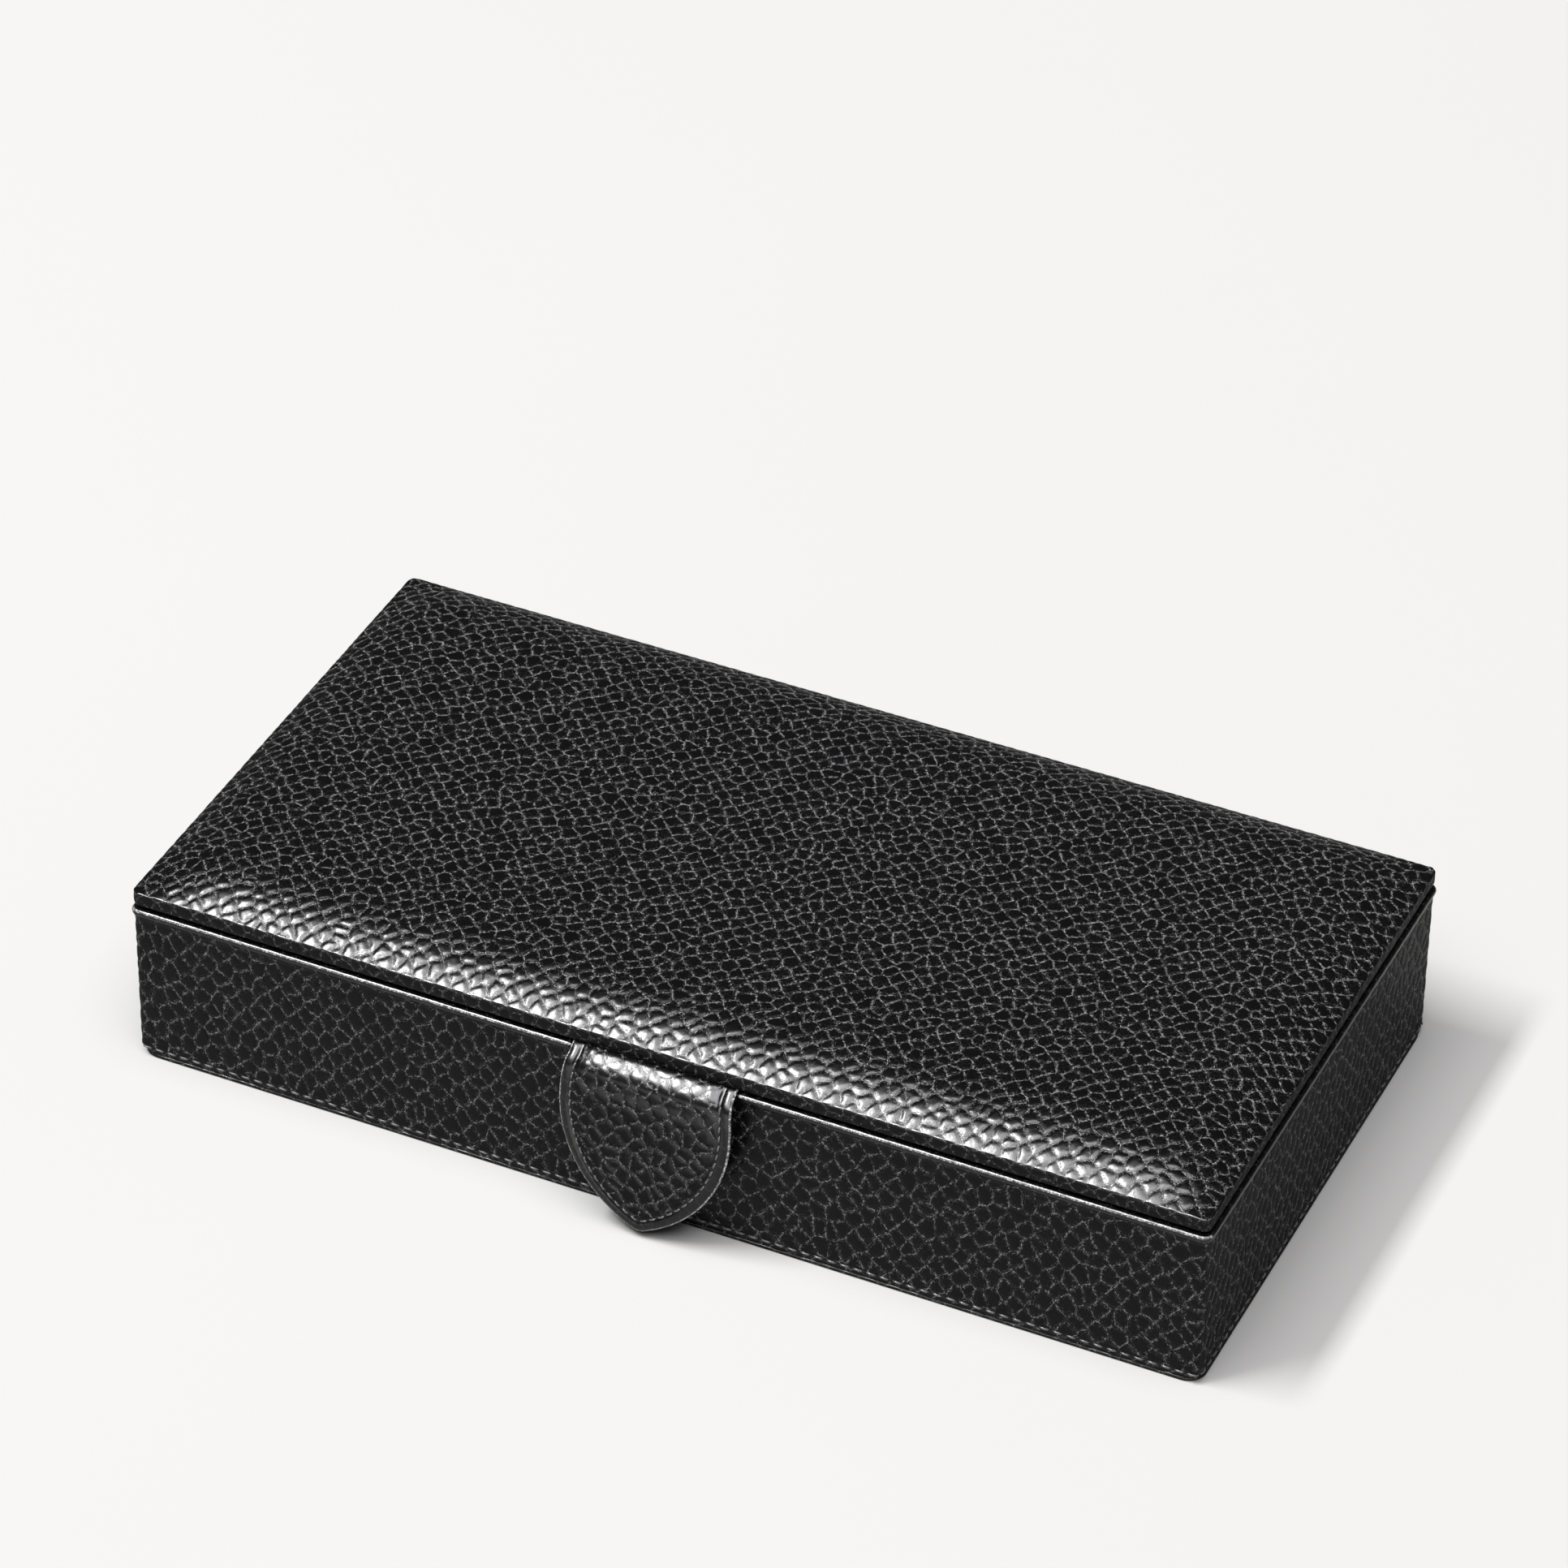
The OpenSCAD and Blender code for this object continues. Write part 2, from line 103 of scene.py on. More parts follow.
class Wires:
    """Adds nodes to a tree and joins them; the same calls serve shader trees and geometry trees."""

    def __init__(self, tree: bpy.types.NodeTree) -> None:
        """Keeps the tree that nodes are added to."""
        self.tree = tree

    def node(self, kind: str, **settings: object) -> bpy.types.Node:
        """Adds a node.

        Args:
            kind: Blender's type name of the node.
            **settings: properties to set on it.

        Returns:
            The new node.
        """
        made = self.tree.nodes.new(kind)
        for name, value in settings.items():
            setattr(made, name, value)
        return made

    def feed(self, socket: Socket, value: object) -> None:
        """Links value into socket when it is a socket, and sets it as the constant otherwise."""
        if isinstance(value, Socket):
            self.tree.links.new(value, socket)
        else:
            socket.default_value = value

    def math(self, operation: str, *values: object, clamp: bool = False) -> Socket:
        """Adds a Math node.

        Args:
            operation: the operation's name.
            *values: one to three sockets or numbers.
            clamp: whether the result is kept between 0 and 1.

        Returns:
            The result's socket.
        """
        made = self.node("ShaderNodeMath", operation=operation, use_clamp=clamp)
        for socket, value in zip(made.inputs, values):
            self.feed(socket, value)
        return made.outputs[0]

    def vector(self, operation: str, *values: object) -> Socket:
        """Adds a Vector Math node and returns its vector result."""
        made = self.node("ShaderNodeVectorMath", operation=operation)
        for socket, value in zip(made.inputs, values):
            self.feed(socket, value)
        return made.outputs["Vector"]

    def fade(self, value: object, start: float, end: float, low: float = 0.0, high: float = 1.0) -> Socket:
        """Goes smoothly from low to high.

        Args:
            value: what is mapped.
            start: where the change starts.
            end: where it ends.
            low: the result before start.
            high: the result after end.

        Returns:
            The result's socket.
        """
        made = self.node("ShaderNodeMapRange", interpolation_type="SMOOTHSTEP")
        for socket, item in zip(made.inputs, (value, start, end, low, high)):
            self.feed(socket, item)
        return made.outputs[0]

    def noise(self, place: Socket, scale: float, detail: float = 2.0, rough: float = 0.5) -> Socket:
        """Adds 3-D noise and returns its value, mostly 0.3 to 0.7."""
        return self._noise(place, scale, detail, rough).outputs[0]

    def bent(self, place: Socket, amount: float, scale: float) -> Socket:
        """Moves a look-up place about by noise.

        Args:
            place: the place to move.
            amount: how far it moves.
            scale: how fine the noise is.

        Returns:
            The moved place.
        """
        drift = self.vector("SUBTRACT", self._noise(place, scale, 2.0, 0.5).outputs[1], (0.5, 0.5, 0.5))
        return self.vector("ADD", place, self.vector("MULTIPLY", drift, (amount, amount, 0.0)))

    def _noise(self, place: Socket, scale: float, detail: float, rough: float) -> bpy.types.Node:
        """Adds a noise node."""
        made = self.node("ShaderNodeTexNoise")
        for name, item in (("Vector", place), ("Scale", scale), ("Detail", detail), ("Roughness", rough)):
            self.feed(made.inputs[name], item)
        return made

    def cells(self, place: Socket, scale: float, spread: float) -> Socket:
        """Adds flat irregular cells and returns the distance to their edges.

        Args:
            place: where the cells are looked up.
            scale: cells per unit of the place.
            spread: how irregular the cells are, from 0 to 1.

        Returns:
            The distance's socket.
        """
        made = self.node("ShaderNodeTexVoronoi", voronoi_dimensions="2D", feature="DISTANCE_TO_EDGE")
        for name, item in (("Vector", place), ("Scale", scale), ("Randomness", spread)):
            self.feed(made.inputs[name], item)
        return made.outputs["Distance"]

    def mix(self, share: object, first: Colour, second: Colour | Socket) -> Socket:
        """Mixes two colours and returns the result's socket."""
        made = self.node("ShaderNodeMix", data_type="RGBA")
        self.feed(made.inputs[0], share)
        self.feed(made.inputs[6], (*first, 1.0))
        self.feed(made.inputs[7], second if isinstance(second, Socket) else (*second, 1.0))
        return made.outputs[2]

    def paint(self, shader: bpy.types.Node, share: object, dark: Colour, light: Colour | Socket) -> None:
        """Colours a shader between two colours."""
        self.feed(shader.inputs["Base Color"], self.mix(share, dark, light))

    def roughen(self, shader: bpy.types.Node, grain: Socket, low: float, high: float) -> None:
        """Makes a shader's roughness follow a noise, from low to high."""
        self.feed(shader.inputs["Roughness"], self.fade(grain, 0.3, 0.7, low, high))

    def attribute(self, name: str, output: str) -> Socket:
        """Reads an attribute of the mesh in a shader tree."""
        return self.node("ShaderNodeAttribute", attribute_name=name).outputs[output]

    def object_place(self) -> Socket:
        """The point in the piece's own frame, for shader trees."""
        return self.node("ShaderNodeTexCoord").outputs["Object"]


def fresh_material(name: str) -> tuple[bpy.types.Material, Wires, bpy.types.Node]:
    """Makes a node material that holds only a Principled shader.

    Args:
        name: the material's name.

    Returns:
        The material, its wiring and its shader.
    """
    material = bpy.data.materials.new(name)
    material.use_nodes = True
    material.node_tree.nodes.clear()
    wires = Wires(material.node_tree)
    shader = wires.node("ShaderNodeBsdfPrincipled")
    output = wires.node("ShaderNodeOutputMaterial")
    wires.feed(output.inputs["Surface"], shader.outputs[0])
    return material, wires, shader


def raise_bump(wires: Wires, shader: bpy.types.Node, height: Socket) -> None:
    """Joins a height in metres to the shader's normal."""
    bump = wires.node("ShaderNodeBump")
    bump.inputs["Strength"].default_value = 1.0
    bump.inputs["Distance"].default_value = 1.0
    wires.feed(bump.inputs["Height"], height)
    wires.feed(shader.inputs["Normal"], bump.outputs["Normal"])


# ------------------------------------------------------------------------------------------------ finishes


@dataclass(frozen=True)
class PebbleGrain:
    """The milled grain: pebbles parted by creases of several fine wrinkles.

    A piece carries the place where its grain is looked up as the attribute "grain", in pebbles, and how
    much of the grain it shows as the attribute "relief". Below 0, relief is how strong a painted highlight
    an edge gets.
    """

    spread: float = 0.62
    wander: float = 0.42
    pillow_edge: float = 0.27
    pillow_height: float = 0.27 * MM
    crease_width: float = 0.023
    crease_depth: float = 0.09 * MM
    strand_gap: float = 0.058
    strand_width: float = 0.015
    pore_depth: float = 0.006 * MM
    sag: float = 0.05 * MM
    ripple: float = 0.09 * MM

    def edge(self, wires: Wires, place: Socket) -> Socket:
        """Distance to the edge of the pebble, in pebbles."""
        return wires.cells(wires.bent(place, self.wander, 0.9), 1.0, self.spread)

    def press(self, piece: bpy.types.Object) -> bpy.types.Object:
        """Presses the pebbles into a piece's mesh along its normals.

        Args:
            piece: a piece with the attributes grain and relief.

        Returns:
            The same piece with its final mesh.
        """
        tree = bpy.data.node_groups.new("pebbles", "GeometryNodeTree")
        tree.interface.new_socket("Geometry", in_out="INPUT", socket_type="NodeSocketGeometry")
        tree.interface.new_socket("Geometry", in_out="OUTPUT", socket_type="NodeSocketGeometry")
        wires = Wires(tree)
        given, result = wires.node("NodeGroupInput"), wires.node("NodeGroupOutput")
        look_up = wires.node("GeometryNodeInputNamedAttribute", data_type="FLOAT_VECTOR")
        look_up.inputs["Name"].default_value = "grain"
        relief = wires.node("GeometryNodeInputNamedAttribute", data_type="FLOAT")
        relief.inputs["Name"].default_value = "relief"
        normal = wires.node("GeometryNodeInputNormal")
        move = wires.node("GeometryNodeSetPosition")
        spot = look_up.outputs[0]
        pillow = wires.math("POWER", wires.fade(self.edge(wires, spot), 0.0, self.pillow_edge), 0.7)
        low = wires.math("MULTIPLY", wires.math("SUBTRACT", pillow, 1.0), self.pillow_height)
        uneven = wires.math("SUBTRACT", wires.noise(spot, 0.45), 0.5)
        sag = wires.math("MULTIPLY", uneven, self.sag)
        height = wires.math("MULTIPLY", wires.math("ADD", low, sag), relief.outputs[0])
        shift = wires.node("ShaderNodeVectorMath", operation="SCALE")
        wires.feed(shift.inputs[0], normal.outputs[0])
        wires.feed(shift.inputs["Scale"], height)
        wires.feed(move.inputs["Geometry"], given.outputs[0])
        wires.feed(move.inputs["Offset"], shift.outputs["Vector"])
        wires.feed(result.inputs[0], move.outputs[0])
        modifier = piece.modifiers.new("pebbles", "NODES")
        modifier.node_group = tree
        apply_modifiers(piece)
        bpy.data.node_groups.remove(tree)
        return piece


@dataclass(frozen=True)
class Leather:
    """Black milled leather whose creases catch the light, partly through their bump and partly as painted
    highlight and painted glints in the colour; edges with relief below 0 get a painted highlight.
    """

    name: str = "pebbled_leather"
    grain: PebbleGrain = field(default_factory=PebbleGrain)
    colour: Colour = (0.0034, 0.0034, 0.0037)
    # The crease colour is a painted highlight in the creases, and the glint colour is painted glints.
    crease_highlight_colour: Colour = (0.16, 0.16, 0.16)
    glint_highlight_colour: Colour = (0.80, 0.80, 0.80)
    roughness: float = 0.25
    gloss: float = 1.0
    gloss_aslant: float = 0.08
    gloss_smooth: float = 0.26

    def material(self) -> bpy.types.Material:
        """Builds the leather's material."""
        grain = self.grain
        material, wires, shader = fresh_material(self.name)
        spot = wires.attribute("grain", "Vector")
        relief = wires.attribute("relief", "Fac")
        broken = wires.noise(spot, 3.4, 2.0)
        broken_fine = wires.noise(spot, 8.0, 2.0)
        pores = wires.noise(spot, 24.0, 3.0, 0.7)
        lines = self.creases(wires, spot, broken, broken_fine)
        lines = wires.math("MULTIPLY", lines, relief, clamp=True)

        depth = wires.math("MULTIPLY", lines, -grain.crease_depth)
        height = wires.math("MULTIPLY_ADD", pores, grain.pore_depth, depth)
        ripple = wires.noise(spot, 1.7, 3.0)
        raise_bump(wires, shader, wires.math("MULTIPLY_ADD", ripple, grain.ripple, height))

        # Painted highlight: the creases are painted light grey, with painted white glints in broken spots
        # along them.
        glint_spots = wires.fade(broken_fine, 0.47, 0.58)
        glint = wires.math("MULTIPLY", glint_spots, wires.fade(broken, 0.36, 0.52))
        painted_crease_highlight = wires.mix(glint, self.crease_highlight_colour, self.glint_highlight_colour)
        # Painted highlight along the front of the base's lip, where relief is below 0, broken by noise.
        painted_lip_highlight = wires.math("MULTIPLY", wires.fade(relief, -0.28, -0.06, 1.0, 0.0),
                               wires.fade(broken, 0.25, 0.5, 0.5, 0.9))
        wires.paint(shader, wires.math("MAXIMUM", lines, painted_lip_highlight), self.colour, painted_crease_highlight)
        wires.roughen(shader, pores, self.roughness - 0.05, self.roughness + 0.05)
        wires.feed(shader.inputs["Specular IOR Level"], self.shine(wires, relief))
        return material

    def creases(self, wires: Wires, spot: Socket, broken: Socket, broken_fine: Socket) -> Socket:
        """The creases with the wrinkles beside them.

        Args:
            wires: the material's wiring.
            spot: where the grain is looked up.
            broken: noise that interrupts the creases.
            broken_fine: finer noise that interrupts the outer wrinkles.

        Returns:
            The creases, from 0 to 1.
        """
        grain = self.grain
        edge = grain.edge(wires, spot)
        patch = wires.noise(spot, 0.55)
        fine_edge = wires.cells(wires.bent(spot, 0.25, 3.1), 2.6, 1.0)
        crease = wires.fade(edge, 0.0, grain.crease_width, 1.0, 0.0)
        crease = wires.math("MULTIPLY", crease, wires.fade(broken, 0.40, 0.55, 0.28, 1.0))
        strand = self.strand(wires, edge, grain.strand_gap, wires.fade(broken, 0.48, 0.58))
        outer = self.strand(wires, edge, 2.0 * grain.strand_gap, wires.fade(broken_fine, 0.54, 0.64))
        by_crease = wires.fade(edge, 0.08, 0.30, 1.0, 0.10)
        mask = wires.math("MULTIPLY", by_crease, wires.fade(patch, 0.36, 0.58))
        wrinkle = wires.math("MULTIPLY", wires.fade(fine_edge, 0.0, 0.040, 1.0, 0.0), mask)
        lines = crease
        for extra, share in ((strand, 0.8), (outer, 0.5), (wrinkle, 0.42)):
            lines = wires.math("MAXIMUM", lines, wires.math("MULTIPLY", extra, share))
        return lines

    def shine(self, wires: Wires, relief: Socket) -> Socket:
        """How strongly the leather mirrors: less aslant where it is pebbled, alike all round where smooth.

        Args:
            wires: the material's wiring.
            relief: how much of the grain shows.

        Returns:
            The strength's socket.
        """
        facing = wires.node("ShaderNodeLayerWeight").outputs["Facing"]
        pebbled = wires.math("MULTIPLY", wires.fade(facing, 0.05, 0.27, self.gloss, self.gloss_aslant),
                             wires.fade(facing, 0.32, 0.70, 1.0, 0.08))
        return wires.math("MAXIMUM", pebbled, wires.fade(relief, 0.12, 0.35, self.gloss_smooth, 0.0))

    def strand(self, wires: Wires, edge: Socket, gap: float, share: Socket) -> Socket:
        """A wrinkle that runs beside the crease.

        Args:
            wires: the material's wiring.
            edge: distance to the edge of the pebble.
            gap: distance of the wrinkle from the crease.
            share: how much of it shows.

        Returns:
            The wrinkle, from 0 to 1.
        """
        off = wires.math("ABSOLUTE", wires.math("SUBTRACT", edge, gap))
        return wires.math("MULTIPLY", wires.fade(off, 0.0, self.grain.strand_width, 1.0, 0.0), share)


@dataclass(frozen=True)
class Suede:
    """Warm grey suede with a short, uneven nap."""

    name: str = "warm_grey_suede"
    dark: Colour = (0.150, 0.122, 0.098)
    light: Colour = (0.235, 0.198, 0.162)
    nap_height: float = 0.10 * MM

    def material(self) -> bpy.types.Material:
        """Builds the suede's material."""
        material, wires, shader = fresh_material(self.name)
        place = wires.object_place()
        brushed = wires.noise(wires.vector("MULTIPLY", place, (1.0, 1.0, 0.45)), 55.0, 4.0, 0.6)
        fibres = wires.noise(wires.vector("MULTIPLY", place, (1.0, 1.6, 1.0)), 2600.0, 3.0, 0.75)
        patches = wires.fade(brushed, 0.35, 0.66, 0.1, 0.45)
        share = wires.math("MULTIPLY_ADD", wires.fade(fibres, 0.3, 0.7), 0.45, patches)
        wires.paint(shader, share, self.dark, self.light)
        wires.roughen(shader, fibres, 0.86, 0.98)
        shader.inputs["Sheen Weight"].default_value = 0.45
        shader.inputs["Sheen Roughness"].default_value = 0.5
        shader.inputs["Specular IOR Level"].default_value = 0.2
        raise_bump(wires, shader, wires.math("MULTIPLY", fibres, self.nap_height))
        return material


@dataclass(frozen=True)
class Board:
    """Plywood or card with streaks, which are longest along the axis where stretch is smallest."""

    name: str
    stretch: tuple[float, float, float]
    dark: Colour = (0.36, 0.23, 0.11)
    light: Colour = (0.62, 0.45, 0.26)
    ply_pitch: float = 1.3 * MM
    streak_height: float = 0.04 * MM

    def material(self) -> bpy.types.Material:
        """Builds the board's material."""
        material, wires, shader = fresh_material(self.name)
        place = wires.object_place()
        streaks = wires.noise(wires.vector("MULTIPLY", place, self.stretch), 420.0, 5.0, 0.65)
        height = wires.node("ShaderNodeSeparateXYZ")
        wires.feed(height.inputs[0], place)
        turns = wires.math("MULTIPLY", height.outputs["Z"], 2 * math.pi / self.ply_pitch)
        plies = wires.math("SINE", turns)
        share = wires.math("MULTIPLY_ADD", plies, 0.12, wires.fade(streaks, 0.32, 0.68))
        wires.paint(shader, share, self.dark, self.light)
        wires.roughen(shader, streaks, 0.55, 0.75)
        raise_bump(wires, shader, wires.math("MULTIPLY", streaks, self.streak_height))
        return material


@dataclass(frozen=True)
class Foam:
    """Open-cell foam under the leather."""

    name: str = "cream_foam"
    dark: Colour = (0.42, 0.36, 0.22)
    light: Colour = (0.66, 0.60, 0.42)
    pore_height: float = 0.25 * MM

    def material(self) -> bpy.types.Material:
        """Builds the foam's material."""
        material, wires, shader = fresh_material(self.name)
        place = wires.object_place()
        pores = wires.noise(place, 1500.0, 3.0, 0.7)
        patches = wires.noise(place, 60.0, 2.0)
        shade = wires.fade(patches, 0.3, 0.7, 0.7, 1.0)
        share = wires.math("MULTIPLY", wires.fade(pores, 0.35, 0.6), shade)
        wires.paint(shader, share, self.dark, self.light)
        wires.roughen(shader, pores, 0.8, 0.95)
        raise_bump(wires, shader, wires.math("MULTIPLY", pores, self.pore_height))
        return material


@dataclass(frozen=True)
class Thread:
    """Black waxed thread whose fibres catch the light as painted glints in the colour."""

    name: str = "black_waxed_thread"
    dark: Colour = (0.010, 0.010, 0.011)
    # The light colour is painted glints on the fibres.
    light: Colour = (0.19, 0.19, 0.20)
    fibre_height: float = 0.04 * MM

    def material(self) -> bpy.types.Material:
        """Builds the thread's material."""
        material, wires, shader = fresh_material(self.name)
        fibres = wires.noise(wires.object_place(), 5200.0, 3.0, 0.7)
        # Painted highlight: fibres are painted light grey in spots, standing in for glints.
        wires.paint(shader, wires.fade(fibres, 0.35, 0.65), self.dark, self.light)
        wires.roughen(shader, fibres, 0.22, 0.42)
        shader.inputs["Coat Weight"].default_value = 0.6
        shader.inputs["Coat Roughness"].default_value = 0.18
        raise_bump(wires, shader, wires.math("MULTIPLY", fibres, self.fibre_height))
        return material


@dataclass(frozen=True)
class Brass:
    """Brushed brass, a little dulled."""

    name: str = "brushed_brass"
    bright: Colour = (0.80, 0.58, 0.27)
    dull: Colour = (0.50, 0.35, 0.15)
    stroke_height: float = 0.006 * MM

    def material(self) -> bpy.types.Material:
        """Builds the brass's material."""
        material, wires, shader = fresh_material(self.name)
        place = wires.object_place()
        strokes = wires.noise(wires.vector("MULTIPLY", place, (0.12, 1.0, 1.0)), 3500.0, 3.0, 0.6)
        dulled = wires.noise(place, 260.0, 4.0, 0.6)
        wires.paint(shader, wires.fade(dulled, 0.45, 0.72), self.bright, self.dull)
        wires.roughen(shader, strokes, 0.24, 0.42)
        shader.inputs["Metallic"].default_value = 1.0
        raise_bump(wires, shader, wires.math("MULTIPLY", strokes, self.stroke_height))
        return material


# -------------------------------------------------------------------------------------------- mesh helpers


def ease(share: Array | float) -> Array | float:
    """Smooth step of a number from 0 to 1."""
    return share * share * (3 - 2 * share)


def travelled(line: Array) -> Array:
    """Length of a line up to each of its points."""
    return np.concatenate([[0.0], np.cumsum(np.linalg.norm(np.diff(line, axis=0), axis=1))])


def lifted(flat: Array, z: Array | float) -> Array:
    """Gives points with x and y a height."""
    height = np.broadcast_to(np.asarray(z, float), flat.shape[:-1])
    return np.concatenate([flat, height[..., None]], -1)


def apply_modifiers(piece: bpy.types.Object) -> None:
    """Replaces a piece's mesh with what its modifiers make of it."""
    bpy.context.view_layer.update()
    graph = bpy.context.evaluated_depsgraph_get()
    shaped = piece.evaluated_get(graph)
    made = bpy.data.meshes.new_from_object(shaped, preserve_all_data_layers=True, depsgraph=graph)
    old = piece.data
    piece.modifiers.clear()
    piece.data = made
    made.name = piece.name
    bpy.data.meshes.remove(old)


class Surface:
    """Collects points and faces, and makes one piece of them."""

    def __init__(self) -> None:
        """Starts empty."""
        self.points: list[Array] = []
        self.grains: list[Array] = []
        self.reliefs: list[Array] = []
        self.faces: list[Sequence[int]] = []
        self.count = 0

    def add(self, points: Array, grain: Array | None = None, relief: Array | float = 0.0) -> Array:
        """Adds points.

        Args:
            points: any array of points, with x, y, z last.
            grain: where the grain is looked up at each point, with two numbers last.
            relief: how much of the grain shows at each point.

        Returns:
            The points' numbers, in the array's shape.
        """
        shape = points.shape[:-1]
        size = int(np.prod(shape))
        self.points.append(points.reshape(-1, 3))
        flat = np.zeros((size, 3))
        if grain is not None:
            flat[:, :2] = np.broadcast_to(grain, (*shape, 2)).reshape(-1, 2)
        self.grains.append(flat)
        self.reliefs.append(np.broadcast_to(np.asarray(relief, float), shape).reshape(-1))
        first = self.count
        self.count += size
        return np.arange(first, self.count).reshape(shape)

    def quads(self, ids: Array, closed: bool = False) -> None:
        """Makes faces between neighbouring rows and columns of numbers.

        Args:
            ids: a table of point numbers.
            closed: whether the last column joins the first.
        """
        right = np.roll(ids, -1, axis=1)
        stop = ids.shape[1] if closed else ids.shape[1] - 1
        low, high = ids[:-1, :stop], ids[1:, :stop]
        low_right, high_right = right[:-1, :stop], right[1:, :stop]
        self.faces += np.stack([low, low_right, high_right, high], -1).reshape(-1, 4).tolist()

    def polygon(self, ids: Sequence[int]) -> None:
        """Makes one face."""
        self.faces.append([int(i) for i in ids])

    def piece(self, name: str, material: bpy.types.Material, weld: float = 0.0) -> bpy.types.Object:
        """Makes the piece.

        Args:
            name: the piece's name.
            material: its material.
            weld: points closer than this become one.

        Returns:
            The new piece, in the scene.
        """
        mesh = bpy.data.meshes.new(name)
        mesh.from_pydata(np.concatenate(self.points).tolist(), [], self.faces)
        grain = mesh.attributes.new("grain", "FLOAT_VECTOR", "POINT")
        grain.data.foreach_set("vector", np.concatenate(self.grains).astype(np.float32).ravel())
        relief = mesh.attributes.new("relief", "FLOAT", "POINT")
        relief.data.foreach_set("value", np.concatenate(self.reliefs).astype(np.float32))
        work = bmesh.new()
        work.from_mesh(mesh)
        if weld:
            bmesh.ops.remove_doubles(work, verts=work.verts, dist=weld)
        bmesh.ops.recalc_face_normals(work, faces=work.faces)
        work.to_mesh(mesh)
        work.free()
        mesh.polygons.foreach_set("use_smooth", np.ones(len(mesh.polygons), bool))
        mesh.materials.append(material)
        made = bpy.data.objects.new(name, mesh)
        bpy.context.scene.collection.objects.link(made)
        return made


def spaced(stops: Sequence[float], step: float, multiple: int = 1) -> Array:
    """Even places along a line that also fall on every stop.

    Args:
        stops: rising places, the first and last of which are the ends.
        step: the widest gap between places.
        multiple: the number of gaps between two stops is a multiple of this.

    Returns:
        The places.
    """
    runs = []
    for low, high in zip(stops, stops[1:]):
        gaps = max(1, math.ceil((high - low) / step / multiple)) * multiple
        runs.append(np.linspace(low, high, gaps + 1)[:-1])
    return np.append(np.concatenate(runs), stops[-1])


@dataclass
class RoundedPlan:
    """A rounded rectangle seen from above, gridded with lines that run out round its corners.

    A line's place is -1 to 1 over the straight part and goes on to 2 round the corner.
    """

    half: tuple[float, float]
    radius: float
    step: float
    corner_gaps: int = 4
    stops_x: Sequence[float] = ()
    multiple: int = 1

    def __post_init__(self) -> None:
        """Lays out the lines and the walk round the edge."""
        self.lines_x = self._lines(self.half[0], self.stops_x)
        self.lines_y = self._lines(self.half[1], ())
        s, t = self.lines_x, self.lines_y
        low_s, low_t = np.full(len(t) - 1, s[0]), np.full(len(s) - 1, t[0])
        walk_s = np.concatenate([s[:-1], -low_s, s[:0:-1], low_s])
        walk_t = np.concatenate([low_t, t[:-1], -low_t, t[:0:-1]])
        self.walk = np.stack([walk_s, walk_t], -1)

    def _lines(self, half: float, stops: Sequence[float]) -> Array:
        """Places of the lines across one direction."""
        straight = half - self.radius
        inner = spaced([-straight, *stops, straight], self.step, self.multiple) / straight
        corner = 1 + np.arange(1, self.corner_gaps + 1) / self.corner_gaps
        return np.concatenate([-corner[::-1], inner, corner])

    def place(self, s: Array, t: Array, inset: float = 0.0, radius: float | None = None) -> Array:
        """Points of the plan, or of the plan moved in.

        Args:
            s: places across X.
            t: places across Y.
            inset: how far the plan is moved in; below 0 is out.
            radius: the moved plan's corner radius, if it isn't the natural one.

        Returns:
            x and y of each point.
        """
        if radius is None:
            radius = max(self.radius - inset, SHARPEST)
        a, b = np.clip(np.abs(s) - 1, 0, 1), np.clip(np.abs(t) - 1, 0, 1)
        x = np.minimum(np.abs(s), 1) * (self.half[0] - inset - radius) + radius * a * np.sqrt(1 - b * b / 2)
        y = np.minimum(np.abs(t), 1) * (self.half[1] - inset - radius) + radius * b * np.sqrt(1 - a * a / 2)
        return np.stack([np.sign(s) * x, np.sign(t) * y], -1)

    def grid(self) -> tuple[Array, Array]:
        """Places of every crossing of the lines."""
        return np.meshgrid(self.lines_x, self.lines_y)

    def edge_ids(self, ids: Array) -> Array:
        """Point numbers along the edge of a gridded table, in the walk's order."""
        return np.concatenate([ids[0, :-1], ids[:-1, -1], ids[-1, :0:-1], ids[:0:-1, 0]])

    def outward(self) -> Array:
        """Outward direction at each point of the walk."""
        s, t = self.walk[:, 0], self.walk[:, 1]
        out = self.place(s, t, 0.0) - self.place(s, t, 1.0 * MM)
        return out / np.linalg.norm(out, axis=1, keepdims=True)

    def ring(self, inset: float, z: float, radius: float | None = None) -> Array:
        """Points round the edge at one inset and height."""
        return lifted(self.place(self.walk[:, 0], self.walk[:, 1], inset, radius), z)

    def travel(self) -> Array:
        """Distance walked round the edge, with the whole way round as the last number."""
        flat = self.place(self.walk[:, 0], self.walk[:, 1])
        return travelled(np.concatenate([flat, flat[:1]]))


def pebble_place(along: Array, across: Array, pitch: tuple[float, float]) -> Array:
    """Turns surface lengths into the pebbles' look-up place, with the pebbles in staggered rows.

    Args:
        along: length along the rows.
        across: length across the rows.
        pitch: size of a pebble along and across the rows.

    Returns:
        Two numbers for each point.
    """
    u, v = along / (pitch[0] * math.sqrt(2)), across / (pitch[1] * math.sqrt(2))
    return np.stack([u + v, u - v], -1)


